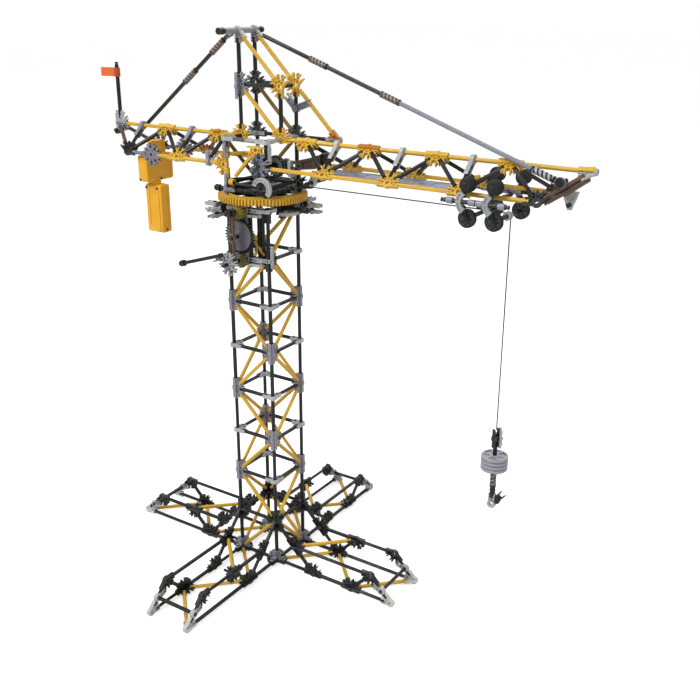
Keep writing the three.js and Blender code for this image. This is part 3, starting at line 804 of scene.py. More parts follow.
put(node, "arch_lightgrey", arch, UPRIGHT, (36.5, -HALF - 10.6, 636.5))
conn(node, (32, -HALF - 6.2, 637), X_DIR, Z_DIR, ARCH, "darkgrey", thick=4.4)
shaft(node, (32, -HALF - 14, 637), (32, -HALF + 14, 637))
shaft(node, (HALF + 6.4, -HALF, 672), (HALF + 6.4, -HALF, 699), "lightgrey")
rod(node, (HALF, -HALF, 651), (HALF, HALF, 633), "black", 8, 8)

# mast: two frames, in the planes y = 0 and y = HALF
node = "mast_frame"
for y in (0, HALF):
    rod(node, (-HALF, y, Z_TOP), (-HALF, y, Z_MID))
    rod(node, (-HALF, y, Z_MID), (-HALF, y, Z_APEX))
    rod(node, (HALF, y, Z_TOP), (HALF, y, Z_MID))
    rod(node, (-HALF, y, Z_MID), (HALF, y, Z_MID))
for x in (-HALF, HALF):
    rod(node, (x, 0, Z_MID), (x, HALF, Z_MID))
shaft(node, (-HALF, -43, Z_APEX), (-HALF, 55, Z_APEX))
for y in (-31, 3.4):
    along(node, "tubes_lavender", sleeve(3.2, 4.4, 0, 31, cut=0.3), (-HALF, y, Z_APEX),
          Y_DIR)
long_cap = lathe([(0, 0), (4.5, 0), (4.9, 0.5), (4.9, 4.6), (4.4, 5.1), (4.4, 6.4),
                  (4.9, 6.9), (4.9, 11.8), (4.4, 12.3), (0, 12.3)])
along(node, "caps_black", long_cap, (-HALF, -32.4, Z_APEX), -Y_DIR)
shaft(node, (-38.5, -11, Z_APEX - 4.2), (-50, -13.2, 843.2), "lavender")
along(node, "caps_black", CAP, (-HALF, 51, Z_APEX), Y_DIR)
for y, apex_mat, mid_mat, mid_angles, top_mat in (
        (0, "lightgrey", "lavender", FAN, "yellow"),
        (HALF, "lavender", "darkgrey", FULL, "darkgrey")):
    conn(node, (-HALF, y, Z_APEX), X_DIR, Z_DIR, [-90, -45], apex_mat)
    conn(node, (-HALF, y, Z_MID), X_DIR, Z_DIR, mid_angles, mid_mat)
    conn(node, (HALF, y, Z_MID), -X_DIR, Z_DIR, FAN + [135], "yellow")
    conn(node, (-HALF, y, Z_TOP), X_DIR, Z_DIR, ARCH, top_mat)
    conn(node, (HALF, y, Z_TOP), -X_DIR, Z_DIR, ARCH, top_mat)
conn(node, (-HALF, -4.8, Z_MID - 2), Z_DIR, Y_DIR, [0, 180], "lavender", 2, 5)
hinge_z = Z_MID - 34
conn(node, (HALF, HALF, hinge_z), X_DIR, Z_DIR, [135], "lavender", 9.5)
conn(node, (HALF, HALF, hinge_z), (math.cos(0.35), 0, math.sin(0.35)), Z_DIR, [0],
     "lavender", 13)
hinge_face = lathe([(0, 0), (4.6, 0), (5.0, 0.4), (5.0, 1.6), (4.6, 2.0), (3.0, 2.0),
                    (2.6, 1.5), (0, 1.5)])
along(node, "hub_face_lavender", hinge_face, (HALF, HALF - 2.9, hinge_z), -Y_DIR)
outer = (3 * HALF, HALF, Z_TOP)  # foot of the mast's outer brace
rod(node, (HALF, HALF, Z_TOP), (92, HALF, Z_TOP), "black", 10, 0)
rod(node, (92, HALF, Z_TOP), outer, "lightgrey", 0, 8)
conn(node, outer, -X_DIR, Z_DIR, [0, 45], "orangebrown")
conn(node, outer, -X_DIR, -Y_DIR, [0, 90], "lightgrey", thick=4.6)
rod(node, outer, (3 * HALF, 0, Z_TOP), "black", 6, 5)
node = "mast_brace_upper"
for y in (0, HALF):
    rod(node, (-HALF, y, Z_APEX), (HALF, y, Z_MID), "yellow")
rod(node, (HALF, HALF, Z_MID), outer, "yellow")
# the far lower brace uses the yellow darkened as painted shade
for y, mat in ((0, "yellow"), (HALF, "shadedyellow")):
    rod("mast_brace_lower", (-HALF, y, Z_MID), (HALF, y, Z_TOP), mat)


# ================================================================ jib and counter-jib
def top_joint(top, place, s, sy, at_root, at_end, second):
    """One of the two connectors at a top-chord joint, leaning to the sy side."""
    angles, mat, thick = ARCH, "yellow", 6
    if at_end:
        angles = [180, 135]
        if s < 0:
            mat = "lavender"
        elif sy < 0:
            mat, thick = "lightgrey", 4
    elif at_root and s < 0 < sy:
        angles, mat = [45, 90, 135], "orangebrown"
    elif second and s > 0 and sy > 0:
        mat = "orangebrown"
    conn(top, place, (s, 0, 0), (0, sy, -1), angles, mat, thick=thick)


def split_chord(chord, a, b):
    """A counter-jib chord bay: two rods and a double connector in the middle."""
    middle = (a + b) / 2
    rod(chord, a, middle, "yellow")
    rod(chord, middle, b, "lavender", GAP, 4)
    conn(chord, middle - Y_DIR * 1.7, X_DIR, Z_DIR, FULL, "lavender", thick=3.3)
    conn(chord, middle + Y_DIR * 1.7, X_DIR, Z_DIR, FULL, "darkgrey", thick=3.3)
    collar(chord, b + X_DIR * 11, -X_DIR)
    conn(chord, b, X_DIR, Z_DIR, [45, 90, 135], "black", thick=4)


def truss(s, bays, name):
    """A three-chord truss towards s * X: one chord above, one below on each side."""
    tops = [vec(s * (TRUSS_X + BAY * n), 0, Z_TOP) for n in range(bays + 1)]
    top, web = f"{name}_top_chord", f"{name}_web"
    rod(top, (s * HALF, 0, Z_TOP), tops[0], "yellow", 3.6, GAP)
    for a, b in zip(tops, tops[1:]):
        rod(top, a, b, "yellow")
    for n, place in enumerate(tops):
        for sy in (-1, 1):
            top_joint(top, place, s, sy, n == 0, n == bays, n == 1)
    for sy, side in ((-1, "near"), (1, "far")):
        chord = f"{name}_{side}_chord"
        lows = [vec(s * (TRUSS_X + BAY * (n + 0.5)), sy * HALF, Z_CHORD)
                for n in range(bays)]
        rod(chord, (s * HALF, sy * HALF, Z_CHORD), lows[0], "yellow", 8, GAP)
        for a, b in zip(lows, lows[1:]):
            if s > 0:
                rod(chord, a, b, "yellow")
            else:
                split_chord(chord, a, b)
        if s < 0 and sy < 0:
            rod(chord, (-72, -HALF, Z_CHORD + 2), (-44, -HALF, Z_TOP - 3), "black", 7, 0)
            clip(chord, (-72, -HALF, Z_CHORD), X_DIR, Z_DIR, "lavender")
            clip(chord, (-72, -HALF, Z_CHORD), Y_DIR, (1, 0, 1.3), thick=4)
        for n, low in enumerate(lows):
            last = n == bays - 1
            mat = "black" if last else "orangebrown" if s < 0 < sy else "yellow"
            conn(chord, low, (s, 0, 0), (0, -sy, 1), ARCH[1:] if last else ARCH, mat)
            web_mat = "bronze" if last else "black"
            rod(web, tops[n], low)
            rod(web, low, tops[n + 1], web_mat)
            if last and s > 0:
                off = vec(0.6, 0, -0.9) * 5.7
                rod(web, low + off, tops[n + 1] + off, web_mat, 7, 12)
            if sy < 0 and (s < 0 or not last):
                above = vec(low[0], 0, Z_TOP)
                rod(web, low, above)
                if s > 0:
                    clip(web, above, X_DIR, low - above, "lightgrey", 9.0)
                else:
                    clip(web, above, X_DIR, low - above, "lavender", 6.0)


truss(1, 4, "jib")
truss(-1, 2, "counter")
along("jib_top_chord", "end_cap_lightgrey", CAP, (TRUSS_X + 4 * BAY + 1.5, 0, Z_TOP), X_DIR)

# deck
deck_pockets = [rounded(x, x + 23, -14.5, 14.5, 1.5, 3) for x in range(-108, 108, 27)]
put("jib_deck", "plate_slate", slab(rounded(-111, 111, -18, 18, 2), (), deck_pockets,
                                    1.25, 0.3, 2, 0.5), FLAT, (239, 0, Z_CHORD - 1.75))


# ================================================================ stays
LONG_COUPLER, LONG_SLEEVE = coupler_shape(34.0), sleeve(3.2, 4.27, 0.5, 33.5, 0.07, 0.3)


def stay(node, start, end, cuts, mats):
    """A line of rods joined by couplers at fractions of its length."""
    way = end - start
    stops = [0.0] + cuts + [1.0]
    for a, b, mat in zip(stops, stops[1:], mats):
        shaft(node, start + way * a, start + way * b, mat)
    for t in cuts:
        mat, pale = ("black", "lightgrey") if t > 0.9 else ("darkbronze", "palebronze")
        place = start + way * t
        along(node, f"couplers_{mat}", LONG_COUPLER, place, way, -17)
        along(node, f"coupler_sleeves_{pale}", LONG_SLEEVE, place, way, -17)


stay("front_stay", vec(-29, 47, 845), vec(478, -18.9, 688.3), [0.2197, 0.4784, 0.952],
     ["black", "black", "lavender", "black"])

# pin at the outer end of the front stay
node = "jib_web"
shaft(node, (481, -28, 690), (481, -8, 690))
pin_head = lathe([(0, 0), (5.4, 0), (6.2, 0.6), (6.4, 1.4), (6.4, 4.2), (5.8, 5.0),
                  (4.6, 5.2), (4.0, 4.4), (2.4, 4.2), (0, 4.4)], 32)
along(node, "pins_black", pin_head, (481, -26.5, 690), -Y_DIR)
for profile in ([(6.5, 0), (7.0, 0), (7.3, 0.3), (7.3, 2.6), (7.0, 3.0), (6.5, 3.0)],
                [(3.3, -1.5), (6.6, -1.5), (6.6, 1.0), (3.3, 1.0)]):
    along(node, "rings_lavender", lathe_ring(profile, 32), (480.5, -26, 690), -Y_DIR)

# ribbed wedge on the far side of the jib
wedge = slab([(-3, -13), (3, -13), (12, 12), (-12, 12)], [circle(3.4, 18, 0, -6)],
             [[(-3.4, 0), (3.4, 0), (7.4, 9.4), (-7.4, 9.4)]], 2.5, 0.5, 2, 1.2)
put(node, "wedge_lightgrey", wedge, UPRIGHT, (472, HALF, 657))
wedge_rib = slab(rounded(9, 16, -1.6, 1.6, 0.7, 3), half=2, bevel=0.4)
for a in (-38, -13, 13, 38):
    c, s = polar(1, a)
    put(node, "wedge_lightgrey", wedge_rib, ((s, 0, c), (c, 0, -s), Y_DIR),
        (472, HALF, 655))
shaft(node, (472, HALF - 7, 651), (472, HALF + 7, 651))

node = "counter_top_chord"
collar(node, (-306, 7, 688.5), -Y_DIR)
shaft(node, (-306, 3, 690), (-306, -4, 690))
shaft(node, (-303.5, 2, 722), (-305.5, 3, 692), "lightgrey")
stay("rear_stay", vec(-44.5, -14, 847), vec(-262, 17, 694), [0.11, 0.41], ["black"] * 3)

# ================================================================ housings
node = "motor_housing"
shell = slab(rounded(-33, 27, 617, 659, 4.5, 6), (), [rounded(-27, 21, 622, 654, 2.5, 4)],
             10, 1.6, 4, 0.9)
put(node, "shell_housing", shell, ON_X, (-219, 0, 0))
neck = slab(rounded(-12, 12, 655, 681, 3, 5), (), [rounded(-8, 8, 662, 677, 2, 4)],
            8.5, 1.2, 4, 0.8)
put(node, "shell_housing", neck, ON_X, (-217.5, 0, 0))
node = "battery_housing"
shell = slab(rounded(-20, 1, 533, 612, 3.5, 6), (), [rounded(-15.5, -3.5, 541, 604, 2, 4)],
             17, 1.8, 4, 0.8)
put(node, "shell_housing", shell, ON_X, (-212, 0, 0))
link = slab(rounded(-17, -4, 606, 617.5, 1.5, 4), (), (), 8.5, 0.6, 3)
put(node, "shell_housing", link, ON_X, (-216, 0, 0))
door = slab(rounded(-12.5, 12.5, 534.5, 610.5, 2.5, 5), (),
            [rounded(-8.5, 8.5, 545, 600, 1.5, 4)], 0.9, 0.5, 2, 0.7)
put(node, "door_housing", door, UPRIGHT, (-212, -20.4, 0))
SCREW = lathe([(0, 0.6), (1.1, 0.6), (1.3, 1.1), (1.9, 1.1), (2.1, 0.8), (2.1, -2),
               (0, -2)], 16)
for node, place, facing in (("motor_housing", (-209.6, -2, 619.8), X_DIR),
                            ("motor_housing", (-209.6, 23.5, 655.5), X_DIR),
                            ("motor_housing", (-209.6, -29.5, 655.5), X_DIR),
                            ("motor_housing", (-225.5, -32.4, 620.3), -Y_DIR),
                            ("motor_housing", (-225.5, 26.4, 620.3), Y_DIR),
                            ("battery_housing", (-225.6, -21.0, 606.5), -Y_DIR),
                            ("battery_housing", (-202, -21.0, 606.5), -Y_DIR),
                            ("battery_housing", (-195.6, -10, 538), X_DIR)):
    along(node, "screws_black", SCREW, place, facing)


# ================================================================ flag
def flag_sheet(length=32, height=14, thick=0.9, nx=24, nz=10):
    """A waving sheet that runs from x = 0 towards -X."""
    verts, faces = [], []
    for y_side in (-thick / 2, thick / 2):
        for i in range(nx + 1):
            t = i / nx
            for j in range(nz + 1):
                y = 0.9 * math.sin(t * 5.2 + 0.4 * j / nz) * t + y_side
                z = -height / 2 + height * j / nz - 0.5 * t**2
                verts.append((-length * i / nx, y, z))
    row = nz + 1
    back = (nx + 1) * row  # first vertex of the second side
    for i in range(nx):
        for j in range(nz):
            a = i * row + j
            quad = (a, a + 1, a + row + 1, a + row)
            faces.append(quad)
            faces.append(tuple(back + t for t in quad[::-1]))
    edge = list(range(nz)) + [i * row + nz for i in range(nx)]
    edge += [nx * row + j for j in range(nz, 0, -1)] + [i * row for i in range(nx, 0, -1)]
    for a, b in zip(edge, edge[1:] + edge[:1]):
        faces.append((b, a, back + a, back + b))
    return outward(np.array(verts, float), faces)


conn("counter_top_chord", (-294, 0, Z_TOP + 3), X_DIR, Z_DIR, [-45, 0, 45, 90], "lightgrey",
     thick=5)
shaft("flag_pole", (-294, 0, Z_TOP + 7.2), (-294, 0, 798.8))
put("flag", "sheet_orange", flag_sheet(), FLAT, (-298, 0, 783))
put("flag", "wrap_darkred", sleeve(3.4, 4.9, -7, 7), FLAT, (-294, 0, 783))

# ================================================================ winch
node = "winch_drum"
winch = (HALF, 0, Z_CHORD)
put(node, "gear_black", gear(20, 5, 7.0, 1.2, root=2.3), ON_Y, (HALF, -14, Z_CHORD))
face = gear_face(12.6, 40, windows(60, (11.4, 20, 6), (8.4, 16, 4)), 0.5)
put(node, "gear_face_lavender", face, ON_Y, (HALF, -14, Z_CHORD))
axle(node, (HALF, -29, Z_CHORD), (HALF, 29, Z_CHORD))
spool = lathe_ring([(3.2, -9.5), (8.6, -9.5), (9.0, -9.0), (9.0, -8.2), (6.2, -7.8),
                    (6.2, 11.3), (9.0, 11.7), (9.0, 12.6), (8.6, 13), (3.2, 13)], 32)
put(node, "spool_lightgrey", spool, ON_Y, winch)
coil_verts, coil_faces = [], []
for i in range(13):
    y = -6.6 + 1.42 * i
    verts, faces = lathe_ring([(6.9 + 0.72 * math.cos(q), y + 0.72 * math.sin(q))
                               for q in np.linspace(0, 2 * math.pi, 9)[:-1]], 40)
    coil_faces += [tuple(k + i * len(verts) for k in f) for f in faces]
    coil_verts.append(verts)
put(node, "coil_string", (np.concatenate(coil_verts), coil_faces), ON_Y, winch)

node = "winch_block"
block = slab([(67, 661), (112, 667.5), (112, 688), (92, 681), (67, 674.5)],
             [circle(2.0, 16, 104, 677), circle(2.0, 16, 74, 668)],
             [[(80, 666), (97, 668.6), (97, 678.4), (80, 673.5)]], 8, 0.9, 3, 1.6)
put(node, "shell_brown", block, UPRIGHT, (0, 0, 0))
block_end = slab([(113, 664.5), (121, 665.5), (121, 690), (113, 689.5)], (),
                 [[(115, 669), (119, 669.4), (119, 686), (115, 685.6)]], 8.4, 0.8, 3, 1.0)
put(node, "end_black", block_end, UPRIGHT, (0, 0, 0))
shaft(node, (100, 0, 677), (117, 0, 677))
shaft(node, (112, -10.5, 677), (112, 10.5, 677))
tab = slab(rounded(-12, 12, -4.6, 4.6, 2.2, 4), [circle(3.4, 20)],
           [rounded(5.6, 10, -2.6, 2.6, 1, 3), rounded(-10, -5.6, -2.6, 2.6, 1, 3)],
           2.3, 0.5, 2, 1.0)
put(node, "plate_lightgrey", tab, (Z_DIR, Y_DIR, X_DIR), (60, -9, 663))
shaft(node, (55, -9, 663), (70, -9, 663))

GUIDE_X, GUIDE_Z = 85, 642.3
node = "cable_guide"
shaft(node, (GUIDE_X, -5, GUIDE_Z), (GUIDE_X, 44, GUIDE_Z))
rod(node, (GUIDE_X, HALF, GUIDE_Z), (GUIDE_X, HALF, Z_CHORD), "black", 3.5, 3.6)
clip(node, (GUIDE_X, 12, GUIDE_Z), Y_DIR, (0.3, 0, 1))

# ================================================================ trolley
WHEEL_Y = 42.4
RAIL_Y, RAIL_Z = 51, 657
node = "trolley_frame"
bow = slab(arc(18.6, 131, 234, 16) + arc(11.0, 236, 129, 14), (),
           [band(16.6, 13.2, 140, 174, 6), band(16.6, 13.2, 186, 226, 6)], 3.2, 0.6, 2, 1.2)
short_tube = sleeve(3.2, 4.3, 0, 9, cut=0.3)
for s in (-1, 1):
    y = s * RAIL_Y
    for x in WHEEL_X:
        for z, rise in ((Z_WHEEL, -13.0), (Z_AXLE, 14.0)):
            way = vec(-4.4, 0, rise)
            strap = slab(eyed_bar([0, float(np.linalg.norm(way))], 4.4, 2.6),
                         [circle(2.9, 18)], [rounded(5.6, 9.6, -1.1, 1.1, 0.5, 3)],
                         0.8, 0.3, 1, 0.4)
            put(node, "straps_black", strap, (unit(way), unit(np.cross(Y_DIR, way)), Y_DIR),
                (x, s * 47.4, z))
        put(node, "bows_lightgrey", bow, UPRIGHT, (x + 6, y, RAIL_Z))
    shaft(node, (332, y, RAIL_Z), (427, y, RAIL_Z))
    for x in (340, 371.5, 382, 412):
        along(node, "tubes_lavender", short_tube, (x, y, RAIL_Z), X_DIR)
trolley_x = sum(WHEEL_X) / 2
shaft(node, (trolley_x, -RAIL_Y, 652.5), (trolley_x, RAIL_Y, 652.5))

tyre = lathe_ring([(4.4, -3.7), (8.8, -3.7), (9.8, -3.2), (10.3, -2.2), (10.3, -1.0),
                   (9.9, -0.7), (9.9, 0.7), (10.3, 1.0), (10.3, 2.2), (9.8, 3.2),
                   (8.8, 3.7), (4.4, 3.7)], 40)
wheel_hub = lathe_ring([(2.5, -3.2), (4.6, -3.2), (4.6, 3.2), (2.5, 3.2)])
drum = lathe_ring([(2.6, -2.9), (6.4, -2.9), (7.2, -2.5), (10.0, 2.2), (10.0, 2.9),
                   (2.6, 2.9)], 40)
spokes = slab(circle(9.7, 48), [circle(2.7, 20)], windows(45, (8.9, 15, 4), (4.6, 12, 3)),
              3.3, 0.4, 2, 1.6)
tyre_band = lathe_ring([(9.7, -3.2), (11.6, -3.2), (12.3, -2.6), (12.3, -0.8),
                        (11.8, -0.5), (11.8, 0.5), (12.3, 0.8), (12.3, 2.6), (11.6, 3.2),
                        (9.7, 3.2)], 48)
guide_ring = sleeve(3.2, 6, -1, 1, n=28)
for tag, x in zip(("rear", "front"), WHEEL_X):
    for side, s in (("near", -1), ("far", 1)):
        node = f"upper_wheel_{tag}_{side}"
        put(node, "tyre", tyre, ON_Y, (x, s * WHEEL_Y, Z_WHEEL))
        put(node, "hub_black", wheel_hub, ON_Y, (x, s * WHEEL_Y, Z_WHEEL))
        axle(node, (x, s * 38.9, Z_WHEEL), (x, s * 56, Z_WHEEL), kind="pin")
        put(node, "drum_black", drum, (Z_DIR, X_DIR, -s * Y_DIR), (x, s * 51.6, Z_WHEEL),
            "tyre")
    node = f"lower_axle_{tag}"
    axle(node, (x, -57, Z_AXLE), (x, 57, Z_AXLE))
    for s in (-1, 1):
        put(node, "spokes_darkgrey", spokes, ON_Y, (x, s * WHEEL_Y, Z_AXLE))
        put(node, "tyre", tyre_band, ON_Y, (x, s * WHEEL_Y, Z_AXLE))
        put(node, "hub_black", wheel_hub, ON_Y, (x, s * 52.0, Z_AXLE))
        if tag == "front":
            put(node, "guide_lightgrey", guide_ring, ON_Y, (x, s * 3, Z_AXLE))


# ================================================================ cables
def rope(points, strands=3, lay=4.2, step=0.55):
    """Strands laid together along a path in the plane y = 0; lay is one turn's length."""
    path = [points[0]]
    for a, b in zip(points, points[1:]):
        n = max(1, int(np.linalg.norm(b - a) / step))
        path += [a + (b - a) * i / n for i in range(1, n + 1)]
    path = np.array(path)
    ways = np.gradient(path, axis=0)
    ways /= np.linalg.norm(ways, axis=1)[:, None]
    travelled = np.cumsum(np.linalg.norm(np.diff(path, axis=0), axis=1))
    travelled = np.concatenate([[0], travelled])
    n = 6
    strand_off, strand_r = 0.52, 0.5
    verts, faces = [], []
    for k in range(strands):
        faces += tube_faces(len(path), n, len(verts))
        for place, w, run in zip(path, ways, travelled):
            u = unit(np.cross(Y_DIR, w))
            v = np.cross(w, u)
            a = 2 * math.pi * (run / lay + k / strands)
            centre = place + (u * math.cos(a) + v * math.sin(a)) * strand_off
            for j in range(n):
                b = 2 * math.pi * j / n
                verts.append(centre + (u * math.cos(b) + v * math.sin(b)) * strand_r)
    return np.array(verts, float), faces


ROD_R = 3.1
bend_r = ROD_R + 1.1  # where the cable turns down over the front axle
cable = [vec(HALF, 0, Z_CHORD - 8.9), vec(GUIDE_X, 0, GUIDE_Z - ROD_R - 1.4)]
for i in range(9):
    a = math.pi / 2 - i * math.pi / 16
    cable.append(vec(WHEEL_X[1] + bend_r * math.cos(a), 0, Z_AXLE + bend_r * math.sin(a)))
put("trolley_cable", "rope", rope(cable), FLAT, (0, 0, 0), "string", 0.5)
drop_x = cable[-1][0]
put("hoist_cable", "rope", rope([vec(drop_x, 0, Z_AXLE - 0.2), vec(drop_x, 0, 329)]), FLAT,
    (0, 0, 0), "string", 0.5)

# ================================================================ hook
HOOK_X = WHEEL_X[1] + ROD_R + 0.9
node = "hook_clip"
side, away = vec(0.838, 0.546, 0), vec(-0.546, 0.838, 0)
conn(node, (HOOK_X, 0, 315), Z_DIR, side * 0.87 + away * 0.49, [0, 180], "black", -2.5)
conn(node, vec(HOOK_X, 0, 315.5) + side * 6.2, Z_DIR, -away, FAN + [180], "lightgrey",
     -2.5, 3.6)
shaft(node, (HOOK_X, 0, 263.5), (HOOK_X, 0, 306))

node = "hook_weights"
disc = slab(circle(19.4, 56), [circle(3.4, 20)], windows(60, (16.0, 23, 6), (7.4, 19, 4)),
            2.4, 1.6, 5, 1.5)
for i in range(4):
    put(node, "discs_grey", disc, axes_spun(13 * i), (HOOK_X, 0, 269.4 + 5.65 * i),
        "hookgrey")
put(node, "sleeve_grey", sleeve(3.45, 7.0, -11, 11), FLAT, (HOOK_X, 0, 278), "hookgrey")

node = "hook_tip"
joint = (HOOK_X, 0, 263.0)
along(node, "coupler_bronze", coupler_shape(24.0), joint, -Z_DIR, mat="darkbronze")
along(node, "coupler_sleeve", sleeve(3.2, 4.27, 0.5, 23.5, 0.07, 0.3), joint, -Z_DIR,
      mat="palebronze")
along(node, "coupler_black", coupler_shape(15.0, 4.3), (HOOK_X, 0, 239.0), -Z_DIR)
shaft(node, (HOOK_X, 0, 226), (HOOK_X, 0, 219))
tip, tip_way = vec(HOOK_X, 0, 209.5), unit((1, 0, 1.25))
conn(node, tip, Z_DIR, X_DIR, [0], "lightgrey")
shaft(node, tip + tip_way * 4.6, tip + tip_way * 12)
conn(node, tip + tip_way * 10.6, tip_way, np.cross(tip_way, Y_DIR), [0], "black", thick=4.4)


# ================================================================ materials
def noise(tree, scale, detail, coords=None):
    node = tree.nodes.new("ShaderNodeTexNoise")
    node.inputs["Scale"].default_value = scale
    node.inputs["Detail"].default_value = detail
    if coords is not None:
        tree.links.new(coords, node.inputs["Vector"])
    return node.outputs["Fac"]


def map_range(tree, source, from_min=0.0, from_max=1.0, to_min=0.0, to_max=1.0):
    node = tree.nodes.new("ShaderNodeMapRange")
    node.inputs["From Min"].default_value = from_min
    node.inputs["From Max"].default_value = from_max
    node.inputs["To Min"].default_value = to_min
    node.inputs["To Max"].default_value = to_max
    tree.links.new(source, node.inputs["Value"])
    return node.outputs["Result"]


def multiply(tree, first, second):
    """Multiplies a socket by a socket or a number."""
    node = tree.nodes.new("ShaderNodeMath")
    node.operation = "MULTIPLY"
    tree.links.new(first, node.inputs[0])
    if isinstance(second, float):
        node.inputs[1].default_value = second
    else:
        tree.links.new(second, node.inputs[1])
    return node.outputs[0]


def rgba(code):
    """A hex colour in linear light."""
    parts = [int(code[i : i + 2], 16) / 255 for i in (1, 3, 5)]
    return (*[((x + 0.055) / 1.055) ** 2.4 if x > 0.04045 else x / 12.92 for x in parts], 1)


def plastic(name, colour, edge, rough, bump, scale=900, coat=0.12, vary=0.16, sss=0.0):
    """Moulded plastic. scale is the grain's; vary is the spread of shade between parts; edge
    is the colour of a painted highlight on sharp edges.
    """
    material = bpy.data.materials.new(name)
    material.use_nodes = True
    tree = material.node_tree
    link = tree.links.new
    shader = tree.nodes["Principled BSDF"].inputs
    coords = tree.nodes.new("ShaderNodeTexCoord").outputs["Object"]

    # a shade for each part, times a slow cloudy variation
    tone = tree.nodes.new("ShaderNodeAttribute")
    tone.attribute_name = "tone"
    shade = map_range(tree, tone.outputs["Fac"], to_min=1 - vary, to_max=1 + vary * 0.6)
    cloud = map_range(tree, noise(tree, scale=38, detail=3, coords=coords),
                      from_min=0.3, from_max=0.7, to_min=0.93, to_max=1.05)
    moulded = tree.nodes.new("ShaderNodeHueSaturation")
    moulded.inputs["Color"].default_value = rgba(colour)
    link(multiply(tree, shade, cloud), moulded.inputs["Value"])

    # painted highlight: sharp edges are lightened towards the edge colour in patches,
    # standing in for light catching them
    pointiness = tree.nodes.new("ShaderNodeNewGeometry").outputs["Pointiness"]
    painted_highlight_mask = map_range(tree, pointiness, from_min=0.53, from_max=0.66)
    patchy = map_range(tree, noise(tree, scale=420, detail=4, coords=coords),
                       from_min=0.35, from_max=0.7, to_max=0.7)
    mix = tree.nodes.new("ShaderNodeMix")
    mix.data_type = "RGBA"
    colour_a, colour_b = mix.inputs[6], mix.inputs[7]
    link(multiply(tree, painted_highlight_mask, patchy), mix.inputs["Factor"])
    link(moulded.outputs["Color"], colour_a)
    colour_b.default_value = rgba(edge)
    link(mix.outputs[2], shader["Base Color"])

    # roughness from handling
    handled = noise(tree, scale=120, detail=5, coords=coords)
    link(map_range(tree, handled, from_min=0.3, from_max=0.7, to_min=rough - 0.06,
                   to_max=rough + 0.1), shader["Roughness"])

    # fine moulding grain
    grain = tree.nodes.new("ShaderNodeBump")
    grain.inputs["Strength"].default_value = bump
    grain.inputs["Distance"].default_value = 0.0002
    link(noise(tree, scale=scale, detail=2, coords=coords), grain.inputs["Height"])
    link(grain.outputs["Normal"], shader["Normal"])

    shader["Specular IOR Level"].default_value = 0.38
    shader["Coat Weight"].default_value = coat
    shader["Coat Roughness"].default_value = 0.25
    if sss:
        shader["Subsurface Weight"].default_value = sss
        shader["Subsurface Radius"].default_value = (0.004, 0.003, 0.0015)
        shader["Subsurface Scale"].default_value = 0.5
    return material


# Rows: a group name that is not used, the material's name, its colour, the colour of its
# painted edge highlight, roughness, bump strength and more settings.
PALETTE = {
    "black": ("black_plastic", "moulded_black", "#121414", "#5a5c5c", 0.32, 0.08, {}),
    "yellow": ("yellow_plastic", "moulded_yellow", "#CFA32A", "#fff0a6", 0.30, 0.05,
               dict(vary=0.1, sss=0.04)),
    # the yellow darkened as painted shade, for rods at the back of the cab and mast
    "shadedyellow": ("yellow_plastic", "yellow_in_painted_shade", "#7d6225", "#c9a95c", 0.36,
                    0.05, dict(vary=0.1)),
    "lightgrey": ("light_grey_plastic", "moulded_light_grey", "#a3a5a6", "#e6e6e8", 0.36,
                  0.06, {}),
    "lavender": ("lavender_plastic", "moulded_grey", "#7f7f8b", "#c0c0c8", 0.36, 0.06, {}),
    "white": ("light_grey_plastic", "moulded_off_white", "#b9bbb8", "#efefec", 0.36, 0.06,
              {}),
    "darkgrey": ("slate_plastic", "moulded_dark_grey", "#3a3c41", "#8e9096", 0.36, 0.07,
                 {}),
    "slate": ("slate_plastic", "moulded_slate", "#7a8092", "#b8bcc8", 0.38, 0.07, {}),
    "darkslate": ("slate_plastic", "moulded_dark_slate", "#605e67", "#9ea1a8", 0.38, 0.07,
                  {}),
    "bronze": ("bronze_plastic", "moulded_bronze", "#574438", "#a08d80", 0.34, 0.06, {}),
    "brown": ("bronze_plastic", "moulded_brown", "#43342a", "#8c786a", 0.34, 0.06, {}),
    "palebronze": ("bronze_plastic", "moulded_pale_bronze", "#86766a", "#b9a89b", 0.36,
                   0.06, {}),
    "darkbronze": ("bronze_plastic", "moulded_dark_bronze", "#3a2f28", "#7d6c60", 0.34,
                   0.06, {}),
    "darkolive": ("olive_plastic", "moulded_dark_olive", "#5d5631", "#9c9468", 0.36, 0.06,
                  {}),
    "orangebrown": ("yellow_plastic", "moulded_orange_brown", "#b06a1c", "#dc9a4c", 0.34,
                    0.06, {}),
    "hookgrey": ("lavender_plastic", "moulded_hook_grey", "#93929b", "#c9c8d0", 0.38, 0.06,
                 dict(vary=0.08)),
    "olive": ("olive_plastic", "moulded_olive", "#7c6e2a", "#cbbd72", 0.36, 0.06, {}),
    "crown": ("yellow_plastic", "moulded_amber", "#C89A26", "#e8bd5e", 0.34, 0.06,
              dict(vary=0.04)),
    "housing": ("yellow_plastic", "case_yellow", "#E3A51F", "#ffd873", 0.42, 0.18,
                dict(scale=1600, coat=0.05, vary=0.04, sss=0.04)),
    "charcoal": ("black_plastic", "case_charcoal", "#3a3833", "#6c6a64", 0.42, 0.2,
                 dict(scale=1500, coat=0.03)),
    "orange": ("orange_film", "flag_orange", "#D2642E", "#e8a078", 0.55, 0.15,
               dict(scale=1200, coat=0.0, vary=0.0)),
    "darkred": ("orange_film", "flag_wrap_red", "#a63f1c", "#c96c48", 0.5, 0.12,
                dict(scale=1200, coat=0.0, vary=0.0)),
    "tyre": ("black_tyre", "tyre_black", "#17171a", "#48484a", 0.68, 0.3,
             dict(scale=1400, coat=0.0)),
    "string": ("string", "string_fibre", "#30342f", "#6f756f", 0.85, 0.6,
               dict(scale=2600, coat=0.0, vary=0.0)),
}
